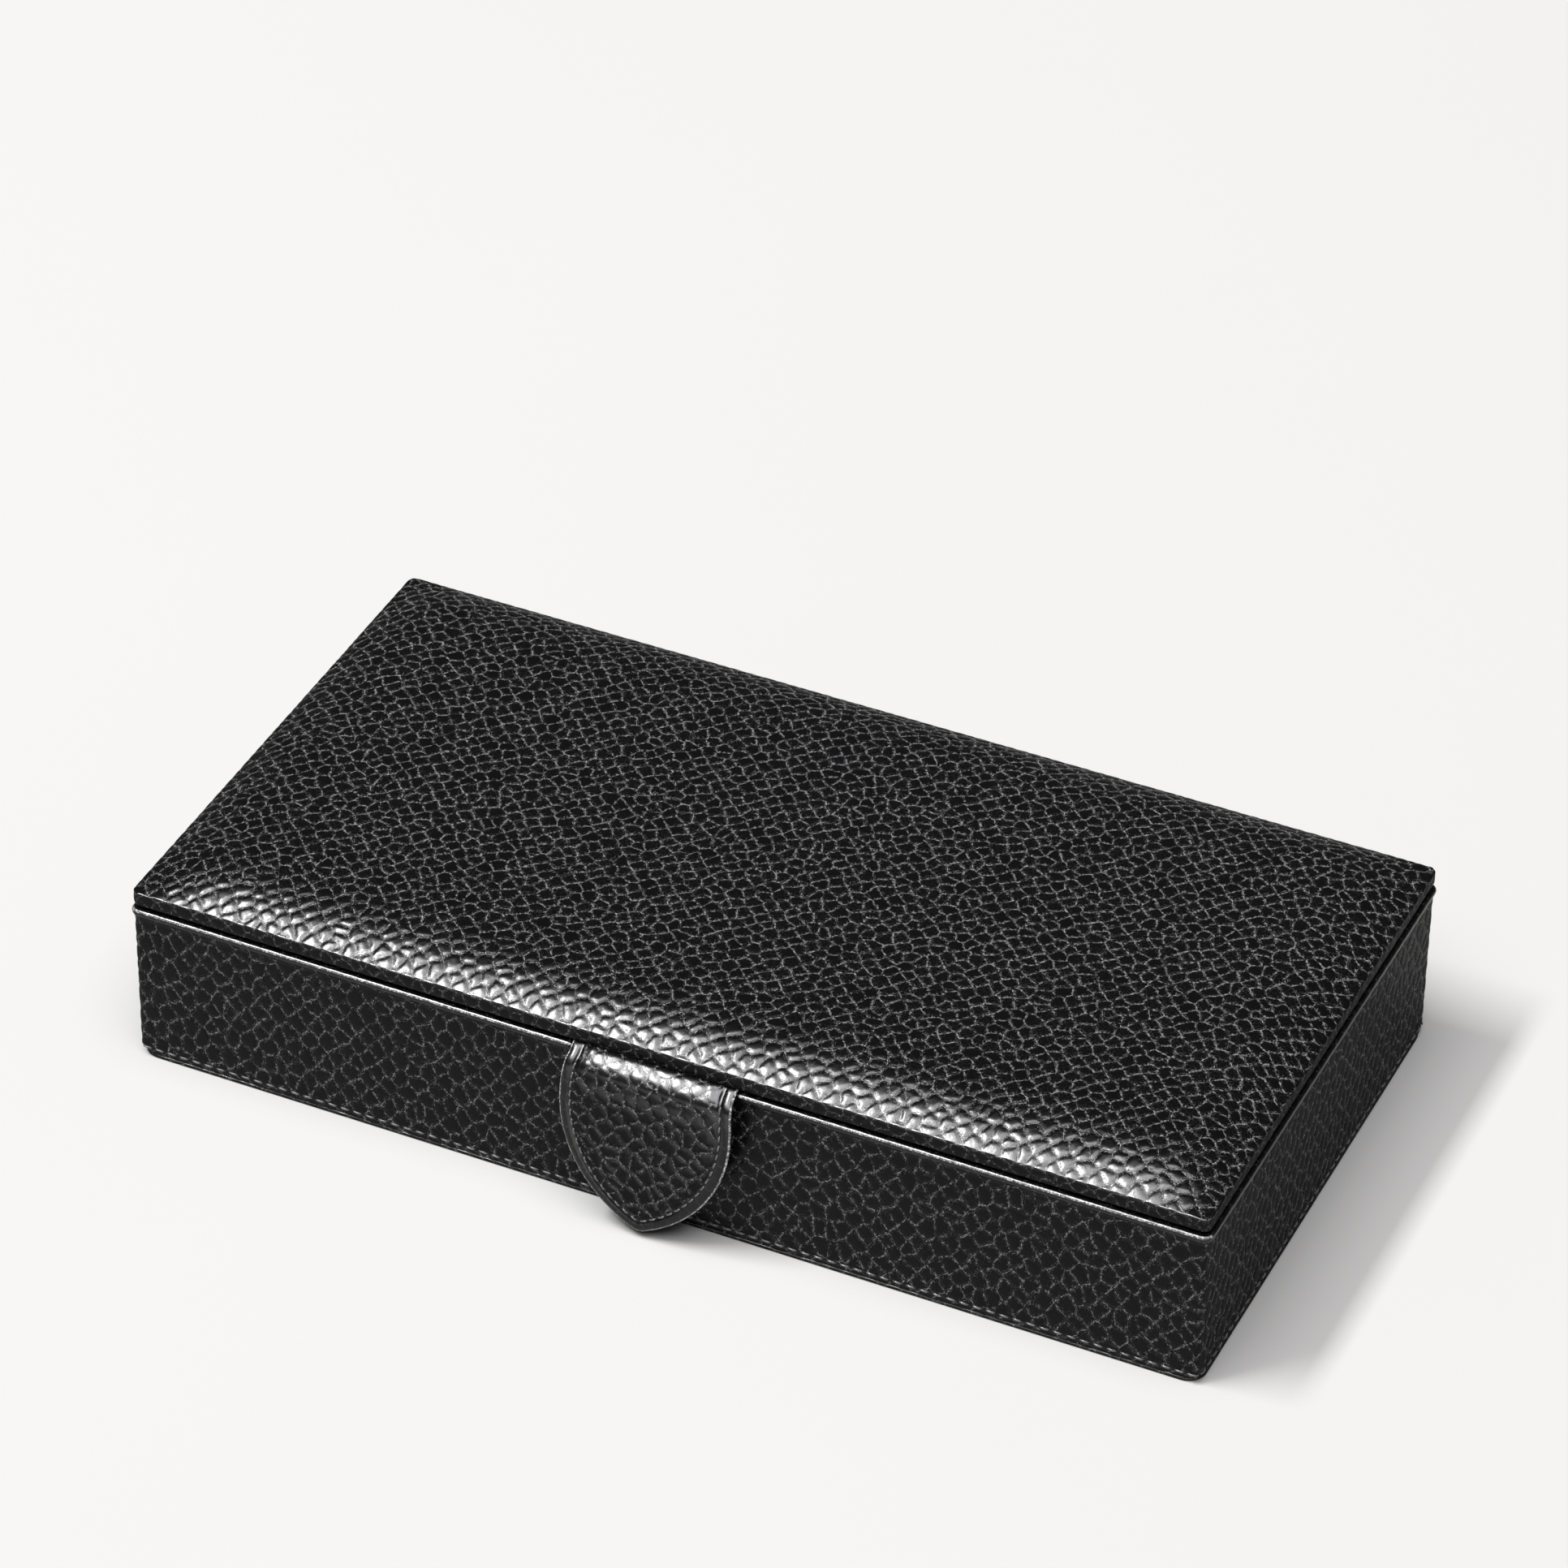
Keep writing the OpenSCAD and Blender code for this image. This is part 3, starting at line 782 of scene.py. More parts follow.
def soft_box(name: str, low: Sequence[float], high: Sequence[float], radius: float, step: float,
             material: bpy.types.Material) -> bpy.types.Object:
    """Makes a box with rounded edges and an evenly divided surface.

    Args:
        name: the piece's name.
        low: its lowest corner.
        high: its highest corner.
        radius: radius of its edges.
        step: widest gap between its lines.
        material: its material.

    Returns:
        The new piece.
    """
    low, high = np.array(low, float), np.array(high, float)
    turns = radius * (1 - np.cos(np.linspace(0, math.pi / 2, 4)))
    surface = Surface()
    lines = []
    for axis in range(3):
        inner = spaced([low[axis] + radius, high[axis] - radius], step)
        lines.append(np.concatenate([low[axis] + turns[:-1], inner, high[axis] - turns[:-1][::-1]]))
    for axis in range(3):
        across, up = [other for other in range(3) if other != axis]
        a, b = np.meshgrid(lines[across], lines[up])
        for side in (low[axis], high[axis]):
            points = np.zeros((*a.shape, 3))
            points[..., across], points[..., up], points[..., axis] = a, b, side
            core = np.clip(points, low + radius, high - radius)
            out = points - core
            length = np.maximum(np.linalg.norm(out, axis=-1, keepdims=True), 1e-12)
            surface.quads(surface.add(core + out / length * radius))
    return surface.piece(name, material, weld=SAME_POINT)


def settle(piece: bpy.types.Object, body: Body, slot: Slot, *stands_for: str) -> bpy.types.Object:
    """Lets a piece ride on a body and hides the CAD nodes that it stands for."""
    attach(piece, body.value)
    if stands_for:
        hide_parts(*stands_for)
    LOG.info("%s: %d faces, rides on %s", piece.name, len(piece.data.polygons), body.value)
    return piece


# ------------------------------------------------------------------------------------------------- the lid


@dataclass
class LidCover:
    """Leather stretched over the padded lid and turned under its edge, with the foam under it."""

    leather: bpy.types.Material
    foam: bpy.types.Material
    grain: PebbleGrain
    radius: float = 2.2 * MM
    dome_run: float = 28 * MM
    dome_power: float = 2.5
    step: float = 0.6 * MM
    pitch: tuple[float, float] = (4.1 * MM, 4.0 * MM)
    fold_round: float = 0.8 * MM
    turn_width: float = 12 * MM
    bulge: float = 0.06 * MM
    side_relief: float = 0.40
    leaf_lift: float = 0.05 * MM
    pad_gap: float = 0.06 * MM
    inner_every: int = 8

    def __post_init__(self) -> None:
        """Takes the lid's levels from the CAD nodes."""
        low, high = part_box("lid_leather")
        board_low, board_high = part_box("lid_board")
        leaf_low, leaf_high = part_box("lid_leaf_right")
        self.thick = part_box("bottom_leather")[1].z
        self.low_z, self.board_z, self.pad_z = low.z, board_low.z, board_high.z
        self.edge_z = self.pad_z + self.thick
        self.dome = high.z - self.edge_z
        self.leaf_low, self.leaf_high = leaf_low, leaf_high
        stops = [-leaf_high.x, -leaf_low.x, leaf_low.x, leaf_high.x]
        self.plan = RoundedPlan((high.x, high.y), self.radius, self.step, stops_x=stops,
                                multiple=self.inner_every)

    def rise(self, flat: Array, inset: float = 0.0) -> Array:
        """Height of the dome above its edge.

        Args:
            flat: x and y of the points.
            inset: how far in the dome's own edge lies.

        Returns:
            The height at each point.
        """
        shares = []
        for axis in (0, 1):
            depth = np.clip((self.plan.half[axis] - inset - np.abs(flat[..., axis])) / self.dome_run, 0, 1)
            shares.append(1 - (1 - depth) ** self.dome_power)
        return self.dome * shares[0] * shares[1]

    def clear_of_leaves(self, points: Array, floor: float) -> Array:
        """Keeps the turned leather above the hinge leaves let into the lid."""
        slack = 0.2 * MM
        from_middle = np.abs(points[:, 0])
        beside = (from_middle > self.leaf_low.x - slack) & (from_middle < self.leaf_high.x + slack)
        back = points[:, 1] > self.leaf_low.y - slack
        points[:, 2] = np.where(beside & back, np.maximum(points[:, 2], floor), points[:, 2])
        return points

    def sections(self) -> tuple[list[tuple[float, float]], list[tuple[float, float]]]:
        """Insets and heights of the rings down the side and in under the lid.

        Returns:
            The rings of the outer face, and those of the face against the board.
        """
        tall = self.edge_z - self.low_z
        rings = [(-0.04 * MM, self.edge_z - 0.35 * MM)]
        for z in np.arange(self.edge_z - 0.9 * MM, self.low_z + self.fold_round, -self.step):
            rings.append((-self.bulge * math.sin(math.pi * (self.edge_z - z) / tall), z))
        for angle in np.linspace(0, math.pi / 2, 5):
            rings.append((self.fold_round * (1 - math.cos(angle)),
                          self.low_z + self.fold_round * (1 - math.sin(angle))))
        rings += [(inset, self.low_z) for inset in np.arange(1.6, 11.5, 1.1) * MM]
        rings += [(self.turn_width - 0.1 * MM, self.low_z + 0.1 * MM),
                  (self.turn_width, self.low_z + 0.35 * MM)]
        inner, board = self.thick + self.pad_gap, self.board_z - 0.02 * MM
        return rings, [(self.turn_width, board), (inner, board), (inner, self.pad_z - 0.3 * MM)]

    def build_cover(self) -> bpy.types.Object:
        """Builds the leather cover."""
        surface, plan = Surface(), self.plan
        s, t = plan.grid()
        flat = plan.place(s, t)
        height = self.edge_z + self.rise(flat)
        from_edge = np.minimum(plan.half[0] - np.abs(flat[..., 0]), plan.half[1] - np.abs(flat[..., 1]))
        relief = 0.35 + 0.65 * np.clip(from_edge / (1.4 * MM), 0, 1)
        place = pebble_place(flat[..., 0], flat[..., 1], self.pitch)
        top = surface.add(lifted(flat, height), place, relief)
        surface.quads(top)

        edge, outward = plan.ring(0.0, 0.0)[:, :2], plan.outward()
        rings, covered = self.sections()
        last, travelled = plan.edge_ids(top), 0.0
        previous = (0.0, self.edge_z)
        for number, (inset, z) in enumerate(rings + covered):
            hidden = number >= len(rings)
            floor = self.leaf_high.z + (self.leaf_lift if hidden else 0.0)
            points = self.clear_of_leaves(plan.ring(inset, z), floor)
            travelled += math.hypot(inset - previous[0], z - previous[1])
            previous = (inset, z)
            spot = edge + outward * travelled
            place = pebble_place(spot[:, 0], spot[:, 1], self.pitch)
            ids = surface.add(points, place, 0.0 if hidden else self.side_relief)
            surface.quads(np.stack([last, ids]), closed=True)
            last = ids

        every, inner = self.inner_every, self.thick + self.pad_gap
        s, t = s[::every, ::every], t[::every, ::every]
        flat = plan.place(s, t, inner)
        under = self.edge_z - self.thick + self.rise(flat, inner)
        inside = surface.add(lifted(flat, under))
        surface.quads(inside)
        rim = plan.edge_ids(inside)
        for k in range(len(rim)):
            run = [last[(every * k + j) % len(last)] for j in range(every + 1)]
            surface.polygon([*run, rim[(k + 1) % len(rim)], rim[k]])
        return self.grain.press(surface.piece("lid_leather_cover", self.leather))

    def build_foam(self) -> bpy.types.Object:
        """Builds the foam that fills the room under the leather."""
        inset = self.thick + 1.0 * MM
        plan = RoundedPlan(self.plan.half, self.radius, 4 * MM)
        s, t = plan.grid()
        flat = plan.place(s, t, inset)
        surface = Surface()
        over = self.pad_z + self.rise(flat, self.thick) - self.pad_gap
        top = surface.add(lifted(flat, over))
        below = surface.add(lifted(flat, self.pad_z))
        surface.quads(top)
        surface.quads(below)
        surface.quads(np.stack([plan.edge_ids(top), plan.edge_ids(below)]), closed=True)
        return surface.piece("lid_foam_pad", self.foam)

    def make(self) -> None:
        """Builds both pieces and lets them ride on the lid."""
        cover = settle(self.build_cover(), Body.LID, Slot.LEATHER, "lid_leather")
        pad = settle(self.build_foam(), Body.LID, Slot.FOAM, "lid_padding")


# ------------------------------------------------------------------------------------------------ stitches


@dataclass
class StitchRun:
    """A row of stitches in twisted thread, each diving into the leather at both ends."""

    thread: bpy.types.Material
    length: float
    radius: float
    twist: float = 5.0
    lobes: int = 3
    lobe_height: float = 0.16
    dive: float = 0.38 * MM
    slant: float = 0.09 * MM
    rings: int = 13
    sides: int = 12

    def build(self, name: str, centre: Array, along: Array, outward: Array) -> bpy.types.Object:
        """Builds the row.

        Args:
            name: the piece's name.
            centre: middle of each stitch.
            along: direction of each stitch.
            outward: direction out of the leather at each stitch.

        Returns:
            The new piece.
        """
        across = np.cross(along, outward)
        surface = Surface()
        u = np.linspace(-1, 1, self.rings)[:, None]
        around = np.linspace(0, 2 * math.pi, self.sides, endpoint=False)[None, :]
        girth = self.radius * np.sqrt(np.clip(1 - np.abs(u) ** 4, 0.05, 1))
        girth = girth * (1 + self.lobe_height * np.cos(self.lobes * around - self.twist * u))
        lift = girth * np.sin(around) - self.dive * u * u
        for k in range(len(centre)):
            wobble = 0.03 * MM * math.sin(12.9898 * k)
            sideways = girth * np.cos(around) + self.slant * u + wobble
            ahead = self.length / 2 * u + 0 * around
            points = (centre[k] + ahead[..., None] * along[k] + lift[..., None] * outward[k]
                      + sideways[..., None] * across[k])
            ids = surface.add(points)
            surface.quads(ids, closed=True)
            surface.polygon(ids[0])
            surface.polygon(ids[-1][::-1])
        return surface.piece(name, self.thread)


# ------------------------------------------------------------------------------------------------ the base


@dataclass
class BaseCover:
    """Leather round the base: stitched near the floor, rolled over the rim and down to the lining."""

    leather: bpy.types.Material
    thread: bpy.types.Material
    grain: PebbleGrain
    radius: float = 2.2 * MM
    foot_radius: float = 5.5 * MM
    foot_height: float = 3.6 * MM
    step: float = 0.6 * MM
    pitch: tuple[float, float] = (4.4 * MM, 5.5 * MM)
    grain_start: float = 40.0
    grain_share: float = 0.62
    lip_share: float = 0.1
    # A relief below 0, which asks for the painted highlight along the lip.
    lip_highlight_relief: float = -0.18
    lip_radius: float = 1.1 * MM
    lip_proud: float = 0.75 * MM
    groove_depth: float = 0.42 * MM
    stitch_pitch: float = 3.9 * MM
    stitch_length: float = 3.0 * MM
    stitch_radius: float = 0.34 * MM
    stitch_sunk: float = 0.12 * MM

    def __post_init__(self) -> None:
        """Takes the base's levels from the CAD nodes."""
        low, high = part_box("side_leather")
        thread_low, thread_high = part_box("base_stitching")
        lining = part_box("floor_lining")[1]
        leaf_low, leaf_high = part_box("base_leaf_right")
        self.low_z, self.rim_z = low.z, high.z
        self.stitch_z = (thread_low.z + thread_high.z) / 2
        self.under_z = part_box("front_wall")[1].z
        self.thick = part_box("bottom_leather")[1].z
        self.cavity = high.x - lining.x
        self.leaf_low, self.leaf_high = leaf_low, leaf_high
        tongue_low, tongue_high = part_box("tab_tongue")
        self.tongue_x, self.tongue_z = tongue_high.x, tongue_low.z
        gap = 0.2 * MM
        stops = sorted([-leaf_high.x - gap, -leaf_low.x + gap, -self.tongue_x - gap, self.tongue_x + gap,
                        leaf_low.x - gap, leaf_high.x + gap])
        self.plan = RoundedPlan((high.x, high.y), self.radius, self.step, stops_x=stops)

    def wall_radius(self, z: float) -> float:
        """Plan radius of the corners, which grows towards the floor."""
        share = min(max((self.foot_height - z) / self.foot_height, 0.0), 1.0)
        return self.radius + (self.foot_radius - self.radius) * ease(share)

    def let_in(self, points: Array) -> Array:
        """Presses the rim down where the tab's tongue and the hinge leaves lie."""
        gap = 0.25 * MM
        x, y, z = points[:, 0], points[:, 1], points[:, 2]
        tongue = (np.abs(x) < self.tongue_x + gap) & (y < 0)
        points[:, 1] = np.where(tongue, np.maximum(y, -self.plan.half[1]), y)
        z = np.where(tongue, np.minimum(z, self.tongue_z - 0.2 * MM), z)
        leaf = (np.abs(x) > self.leaf_low.x - gap) & (np.abs(x) < self.leaf_high.x + gap)
        leaf &= y > self.leaf_low.y - gap
        points[:, 2] = np.where(leaf, np.minimum(z, self.rim_z - 1.05 * MM), z)
        return points

    def profile(self) -> list[tuple[float, float, float]]:
        """Section through the wall's leather.

        Returns:
            Inset, height and share of grain at each point, from the foot up and over the rim.
        """
        foot, stitch, groove = self.low_z, self.stitch_z, self.groove_depth
        points = [(0.30, foot, 0.0), (0.06, foot + 0.2 * MM, 0.5), (0.0, foot + 0.6 * MM, 0.7)]
        points = [(inset * MM, z, share) for inset, z, share in points]
        points += [(0.0, stitch - 0.62 * MM, 0.6), (0.03 * MM, stitch - 0.42 * MM, 0.3),
                   (groove * 0.75, stitch - 0.24 * MM, 0.0), (groove, stitch, 0.0),
                   (groove * 0.75, stitch + 0.24 * MM, 0.0), (0.03 * MM, stitch + 0.42 * MM, 0.3),
                   (-0.05 * MM, stitch + 0.75 * MM, 0.6), (-0.07 * MM, stitch + 1.3 * MM, 0.7)]
        start, stop = stitch + 1.8 * MM, self.rim_z - self.lip_radius
        gaps = round((stop - start) / self.step)
        for z in np.linspace(start, stop, gaps):
            near = min(max(1 - (stop - z) / (2.4 * MM), 0.0), 1.0)
            share = self.grain_share * (1 - near) + self.lip_share * near
            points.append((-self.lip_proud * ease(near), z, share))
        for angle in np.linspace(0, math.pi / 2, 8)[1:]:
            # The middle of the lip's roll gets the painted highlight.
            share = self.lip_highlight_relief if 0.4 < angle < 1.3 else self.lip_share
            points.append((self.lip_radius * (1 - math.cos(angle)) - self.lip_proud,
                           stop + self.lip_radius * math.sin(angle), share))
        points += [(inset * MM, self.rim_z, 0.3) for inset in (2.0, 2.8, 3.6, 4.4, 5.2)]
        points += [(self.cavity - 0.35 * MM, self.rim_z - 0.08 * MM, 0.1),
                   (self.cavity - 0.04 * MM, self.rim_z - 0.4 * MM, 0.0),
                   (self.cavity - 0.04 * MM, self.under_z + 0.01 * MM, 0.0),
                   (self.thick + 0.03 * MM, self.under_z + 0.01 * MM, 0.0),
                   (self.thick + 0.03 * MM, foot, 0.0)]
        return points

    def build_cover(self) -> bpy.types.Object:
        """Builds the leather round the walls."""
        surface, plan = Surface(), self.plan
        gaps_x, gaps_y = len(plan.lines_x) - 1, len(plan.lines_y) - 1
        seam = 2 * gaps_x + gaps_y
        travel = plan.travel()
        along = np.mod(travel[:-1] - travel[seam], travel[-1])
        at_seam = np.ones(len(along))
        at_seam[[seam - 1, seam]] = 0.0
        rows, height, previous = [], 0.0, None
        for inset, z, share in self.profile():
            radius = max(self.wall_radius(z) - inset, SHARPEST)
            points = plan.ring(inset, z, radius)
            if z > self.under_z + 0.02 * MM:
                points = self.let_in(points)
            if previous is not None:
                height += math.hypot(inset - previous[0], z - previous[1])
            previous = (inset, z)
            place = pebble_place(along, np.full(len(along), height), self.pitch)
            # The painted highlight on the lip is kept to the front; elsewhere the lip gets its plain share
            # of grain.
            if share < 0:
                front = points[:, 1] < -plan.half[1] + 2 * MM
                share = np.where(front, share, self.lip_share)
            rows.append(surface.add(points, place + self.grain_start, share * at_seam))
        surface.quads(np.stack([*rows, rows[0]]), closed=True)
        return self.grain.press(surface.piece("base_leather_cover", self.leather))

    def build_bottom(self) -> bpy.types.Object:
        """Builds the leather under the base."""
        low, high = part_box("bottom_leather")
        plan = RoundedPlan((high.x, high.y), self.foot_radius, 2 * MM)
        surface = Surface()
        s, t = plan.grid()
        under = plan.place(s, t, 0.55 * MM)
        place = pebble_place(under[..., 0], under[..., 1], self.pitch)
        below = surface.add(lifted(under, low.z), place, 0.8)
        surface.quads(below)
        last = plan.edge_ids(below)
        inner = 0.2 * MM
        for inset, z in ((0.22 * MM, 0.12 * MM), (0.05 * MM, 0.35 * MM), (0.02 * MM, 0.65 * MM),
                         (0.05 * MM, 1.0 * MM), (inner, high.z)):
            points = plan.ring(inset, z)
            place = pebble_place(points[:, 0], points[:, 1] - z, self.pitch)
            ids = surface.add(points, place, 0.4)
            surface.quads(np.stack([last, ids]), closed=True)
            last = ids
        over = plan.place(s, t, inner)
        top = surface.add(lifted(over, high.z))
        surface.quads(top)
        surface.quads(np.stack([last, plan.edge_ids(top)]), closed=True)
        return surface.piece("bottom_leather_cover", self.leather, weld=SAME_POINT)

    def build_stitches(self) -> bpy.types.Object:
        """Builds the stitches round the foot."""
        plan = self.plan
        radius = self.wall_radius(self.stitch_z)
        ring = plan.ring(0.0, self.stitch_z, radius)
        ring = np.concatenate([ring, ring[:1]])
        travel = travelled(ring)
        count = round(travel[-1] / self.stitch_pitch)
        middle = (np.arange(count) + 0.5) * travel[-1] / count
        centre = np.stack([np.interp(middle, travel, ring[:, axis]) for axis in range(3)], -1)
        ahead = np.stack([np.interp(middle + 0.3 * MM, travel, ring[:, axis]) for axis in range(3)], -1)
        along = ahead - centre
        along /= np.linalg.norm(along, axis=1, keepdims=True)
        outward = np.stack([along[:, 1], -along[:, 0], np.zeros(count)], -1)
        run = StitchRun(self.thread, self.stitch_length, self.stitch_radius)
        return run.build("base_stitches", centre - outward * self.stitch_sunk, along, outward)

    def make(self) -> None:
        """Builds the pieces and lets them ride on the base."""
        settle(self.build_cover(), Body.BASE, Slot.LEATHER, "side_leather")
        settle(self.build_bottom(), Body.BASE, Slot.LEATHER, "bottom_leather")
        settle(self.build_stitches(), Body.BASE, Slot.THREAD, "base_stitching")


# --------------------------------------------------------------------------------------------- the pull tab


@dataclass
class PullTab:
    """Shield-shaped tab of two leathers with a pad between them, hung over the front from under the lid."""

    leather: bpy.types.Material
    foam: bpy.types.Material
    thread: bpy.types.Material
    grain: PebbleGrain
    fold: tuple[float, float]
    half: float = 25.5 * MM
    taper: float = 1.0 * MM
    shoulder: float = 13 * MM
    lean: float = math.radians(6)
    thick: float = 2.8 * MM
    border: float = 3.3 * MM
    tongue_in: float = 9 * MM
    step: float = 0.6 * MM
    columns: int = 60
    pitch: tuple[float, float] = (4.2 * MM, 4.6 * MM)
    grain_start: float = 90.0
    stitch_pitch: float = 3.0 * MM
    stitch_length: float = 2.3 * MM
    stitch_radius: float = 0.30 * MM
    stitch_sunk: float = 0.32 * MM

    def __post_init__(self) -> None:
        """Lays out the tab's outline and the path of its face from under the lid to its tip."""
        tip_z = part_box("tab_back_leather")[0].z
        self.length = (self.fold[1] - tip_z) / math.cos(self.lean)
        drop = self.length - self.shoulder
        self.arch = (drop * drop - self.half * self.half) / (2 * self.half)
        reach = self.arch + self.half
        self.arch_points = round(reach * math.acos(self.arch / reach) / self.step)
        self.side = self.shoulder * self.shoulder / (2 * self.taper)
        face_y, lid_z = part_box("side_leather")[0].y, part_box("lid_leather")[0].z
        self.top = lid_z - 0.06 * MM
        bend = [(1.4, 0.0), (0.2, -0.02), (-0.6, -0.25), (-1.8, -1.0), (-3.2, -1.9), (-4.4, -2.75),
                (-5.2, -3.8), (-5.7, -5.2)]
        path = [(face_y + self.tongue_in, self.top)]
        path += [(face_y + y * MM, self.top + z * MM) for y, z in bend]
        path += [self.plane(length) for length in np.linspace(7.5 * MM, self.length, 30)]
        self.path, self.normals, self.lengths = self._smooth(np.array(path))
        self.start = self.lengths[0]

    def plane(self, length: float) -> tuple[float, float]:
        """y and z on the flat of the tab's face, at a length below the fold."""
        ahead, down = math.cos(self.lean), math.sin(self.lean)
        front = (self.fold[0] - self.thick * ahead, self.fold[1] + self.thick * down)
        return front[0] - length * down, front[1] - length * ahead

    def _smooth(self, corners: Array) -> tuple[Array, Array, Array]:
        """Rounds the path off.

        Args:
            corners: y and z of the path's corners.

        Returns:
            Points, normals and lengths below the fold along the rounded path.
        """
        gaps = travelled(corners)
        fine = np.arange(0.0, gaps[-1], 0.1 * MM)
        points = np.stack([np.interp(fine, gaps, corners[:, axis]) for axis in (0, 1)], -1)
        beside = 7
        window = np.ones(2 * beside + 1) / (2 * beside + 1)
        for _ in range(2):
            held = np.pad(points, ((beside, beside), (0, 0)), "edge")
            points = np.stack([np.convolve(held[:, axis], window, "valid") for axis in (0, 1)], -1)
        tangent = np.gradient(points, axis=0)
        tangent /= np.maximum(np.linalg.norm(tangent, axis=1, keepdims=True), 1e-12)
        normals = np.stack([tangent[:, 1], -tangent[:, 0]], -1)
        travel = travelled(points)
        return points, normals, travel - travel[-1] + self.length

    def bend(self, x: Array, length: Array, height: Array) -> Array:
        """Points over the path of the tab's face.

        Args:
            x: place across the tab.
            length: length below the fold.
            height: height above the face.

        Returns:
            The points.
        """
        spot = [np.interp(length, self.lengths, self.path[:, axis]) for axis in (0, 1)]
        normal = [np.interp(length, self.lengths, self.normals[:, axis]) for axis in (0, 1)]
        y, z = (spot[axis] + normal[axis] * height for axis in (0, 1))
        return np.stack([x + 0 * y, y, z], -1)

    def outline(self, inset: float, top: float, step: float) -> Array:
        """Left half of the tab's outline moved in, from its top to its tip.

        Args:
            inset: how far it is moved in.
            top: length below the fold where it starts.
            step: rough gap between points.

        Returns:
            Half width and length of each point.
        """
        count = max(2, round((self.shoulder - top) / step))
        upper = np.linspace(top, self.shoulder, count, endpoint=False)
        held = np.maximum(upper, 0.0)
        across = np.sqrt((self.side - inset) ** 2 - (self.shoulder - held) ** 2) - (self.side - self.half)
        radius = self.arch + self.half - inset
        angle = math.acos(self.arch / radius) * np.linspace(0, 1, self.arch_points)
        lower = np.stack([radius * np.cos(angle) - self.arch, self.shoulder + radius * np.sin(angle)], -1)
        lower[-1, 0] = 0.0
        return np.concatenate([np.stack([across, upper], -1), lower])

    def rounded_tip(self, ring: Array, rounds: int = 5) -> Array:
        """Rounds the tip of a whole ring of x and length."""
        ring = ring.copy()
        middle = len(ring) // 2
        near = slice(middle - 12, middle + 13)
        for _ in range(rounds):
            mean = (np.roll(ring, 1, axis=0) + 2 * ring + np.roll(ring, -1, axis=0)) / 4
            ring[near] = mean[near]
        return ring

    def sheet(self, surface: Surface, profile: Sequence[tuple[float, Callable[[Array], Array], float]],
              crown: Callable[[Array, Array], Array], top: float, step: float,
              shared: Array | None = None) -> tuple[Array, Array]:
        """Adds one face of a layer: rings along the outline and a field inside them.

        Args:
            surface: where it is added.
            profile: inset, height for each length, and share of grain of each ring.
            crown: height of the field for each x and length.
            top: length below the fold where the layer starts.
            step: rough gap between points.
            shared: point numbers of the first ring, if another face has made it.

        Returns:
            Point numbers of the first ring, and of the layer's top edge from left to right.
        """
        rows = [] if shared is None else [shared]
        for number, (inset, height, share) in enumerate(profile):
            half = self.outline(inset, top, step)
            if number == 0 and shared is not None:
                continue
            left = half * (-1, 1)
            ring = self.rounded_tip(np.concatenate([left, half[-2::-1]]))
            points = self.bend(ring[:, 0], ring[:, 1], height(ring[:, 1]))
            place = pebble_place(ring[:, 0], ring[:, 1], self.pitch) + self.grain_start
            rows.append(surface.add(points, place, share))
        surface.quads(np.stack(rows))
        count = len(ring) // 2
        left, right = ring[:count], ring[:count:-1]
        share = np.linspace(0, 1, self.columns + 1)[None, 1:-1]
        x = left[:, :1] + (right[:, :1] - left[:, :1]) * share
        length = left[:, 1:] + (right[:, 1:] - left[:, 1:]) * share
        place = pebble_place(x, length, self.pitch) + self.grain_start
        field_ids = surface.add(self.bend(x, length, crown(x, length)), place, profile[-1][2])
        table = np.concatenate([rows[-1][:count, None], field_ids, rows[-1][:count:-1, None]], 1)
        surface.quads(table)
        tip = rows[-1][count]
        for first, second in zip(table[-1], table[-1][1:]):
            surface.polygon([first, second, tip])
        top_edge = [row[0] for row in rows] + list(field_ids[0]) + [row[-1] for row in rows[::-1]]
        return rows[0], np.array(top_edge)

    def shown(self, length: Array) -> Array:
        """How much of the tab's shape shows, from 0 under the lid to 1 below it."""
        return ease(np.clip((length + 5 * MM) / (4 * MM), 0, 1))

    def body_thick(self, length: Array) -> Array:
        """Thickness of the front leather with its filling: thin at the tongue."""
        return 1.3 * MM + 0.5 * MM * ease(np.clip(length / (4 * MM), 0, 1))

    def crown(self, x: Array, length: Array) -> Array:
        """Height of the padded field above the face."""
        from_side = np.clip((self.half - self.border - np.abs(x)) / (9 * MM), 0, 1)
        lower = np.clip((self.length - 6 * MM - length) / (14 * MM), 0, 1)
        gathers = 0.10 * MM * np.sin(x / (2.1 * MM) + 1.3 * np.sin(x / (5 * MM)))
        near_fold = np.exp(-((length - 6.5 * MM) / (2.2 * MM)) ** 2)
        swell = 0.22 * MM + 0.35 * MM * np.sqrt(from_side * lower)
        dent = 0.28 * MM * np.exp(-((length - 7.0 * MM) / (2.0 * MM)) ** 2)
        return (swell - dent + gathers * near_fold * from_side) * self.shown(length)

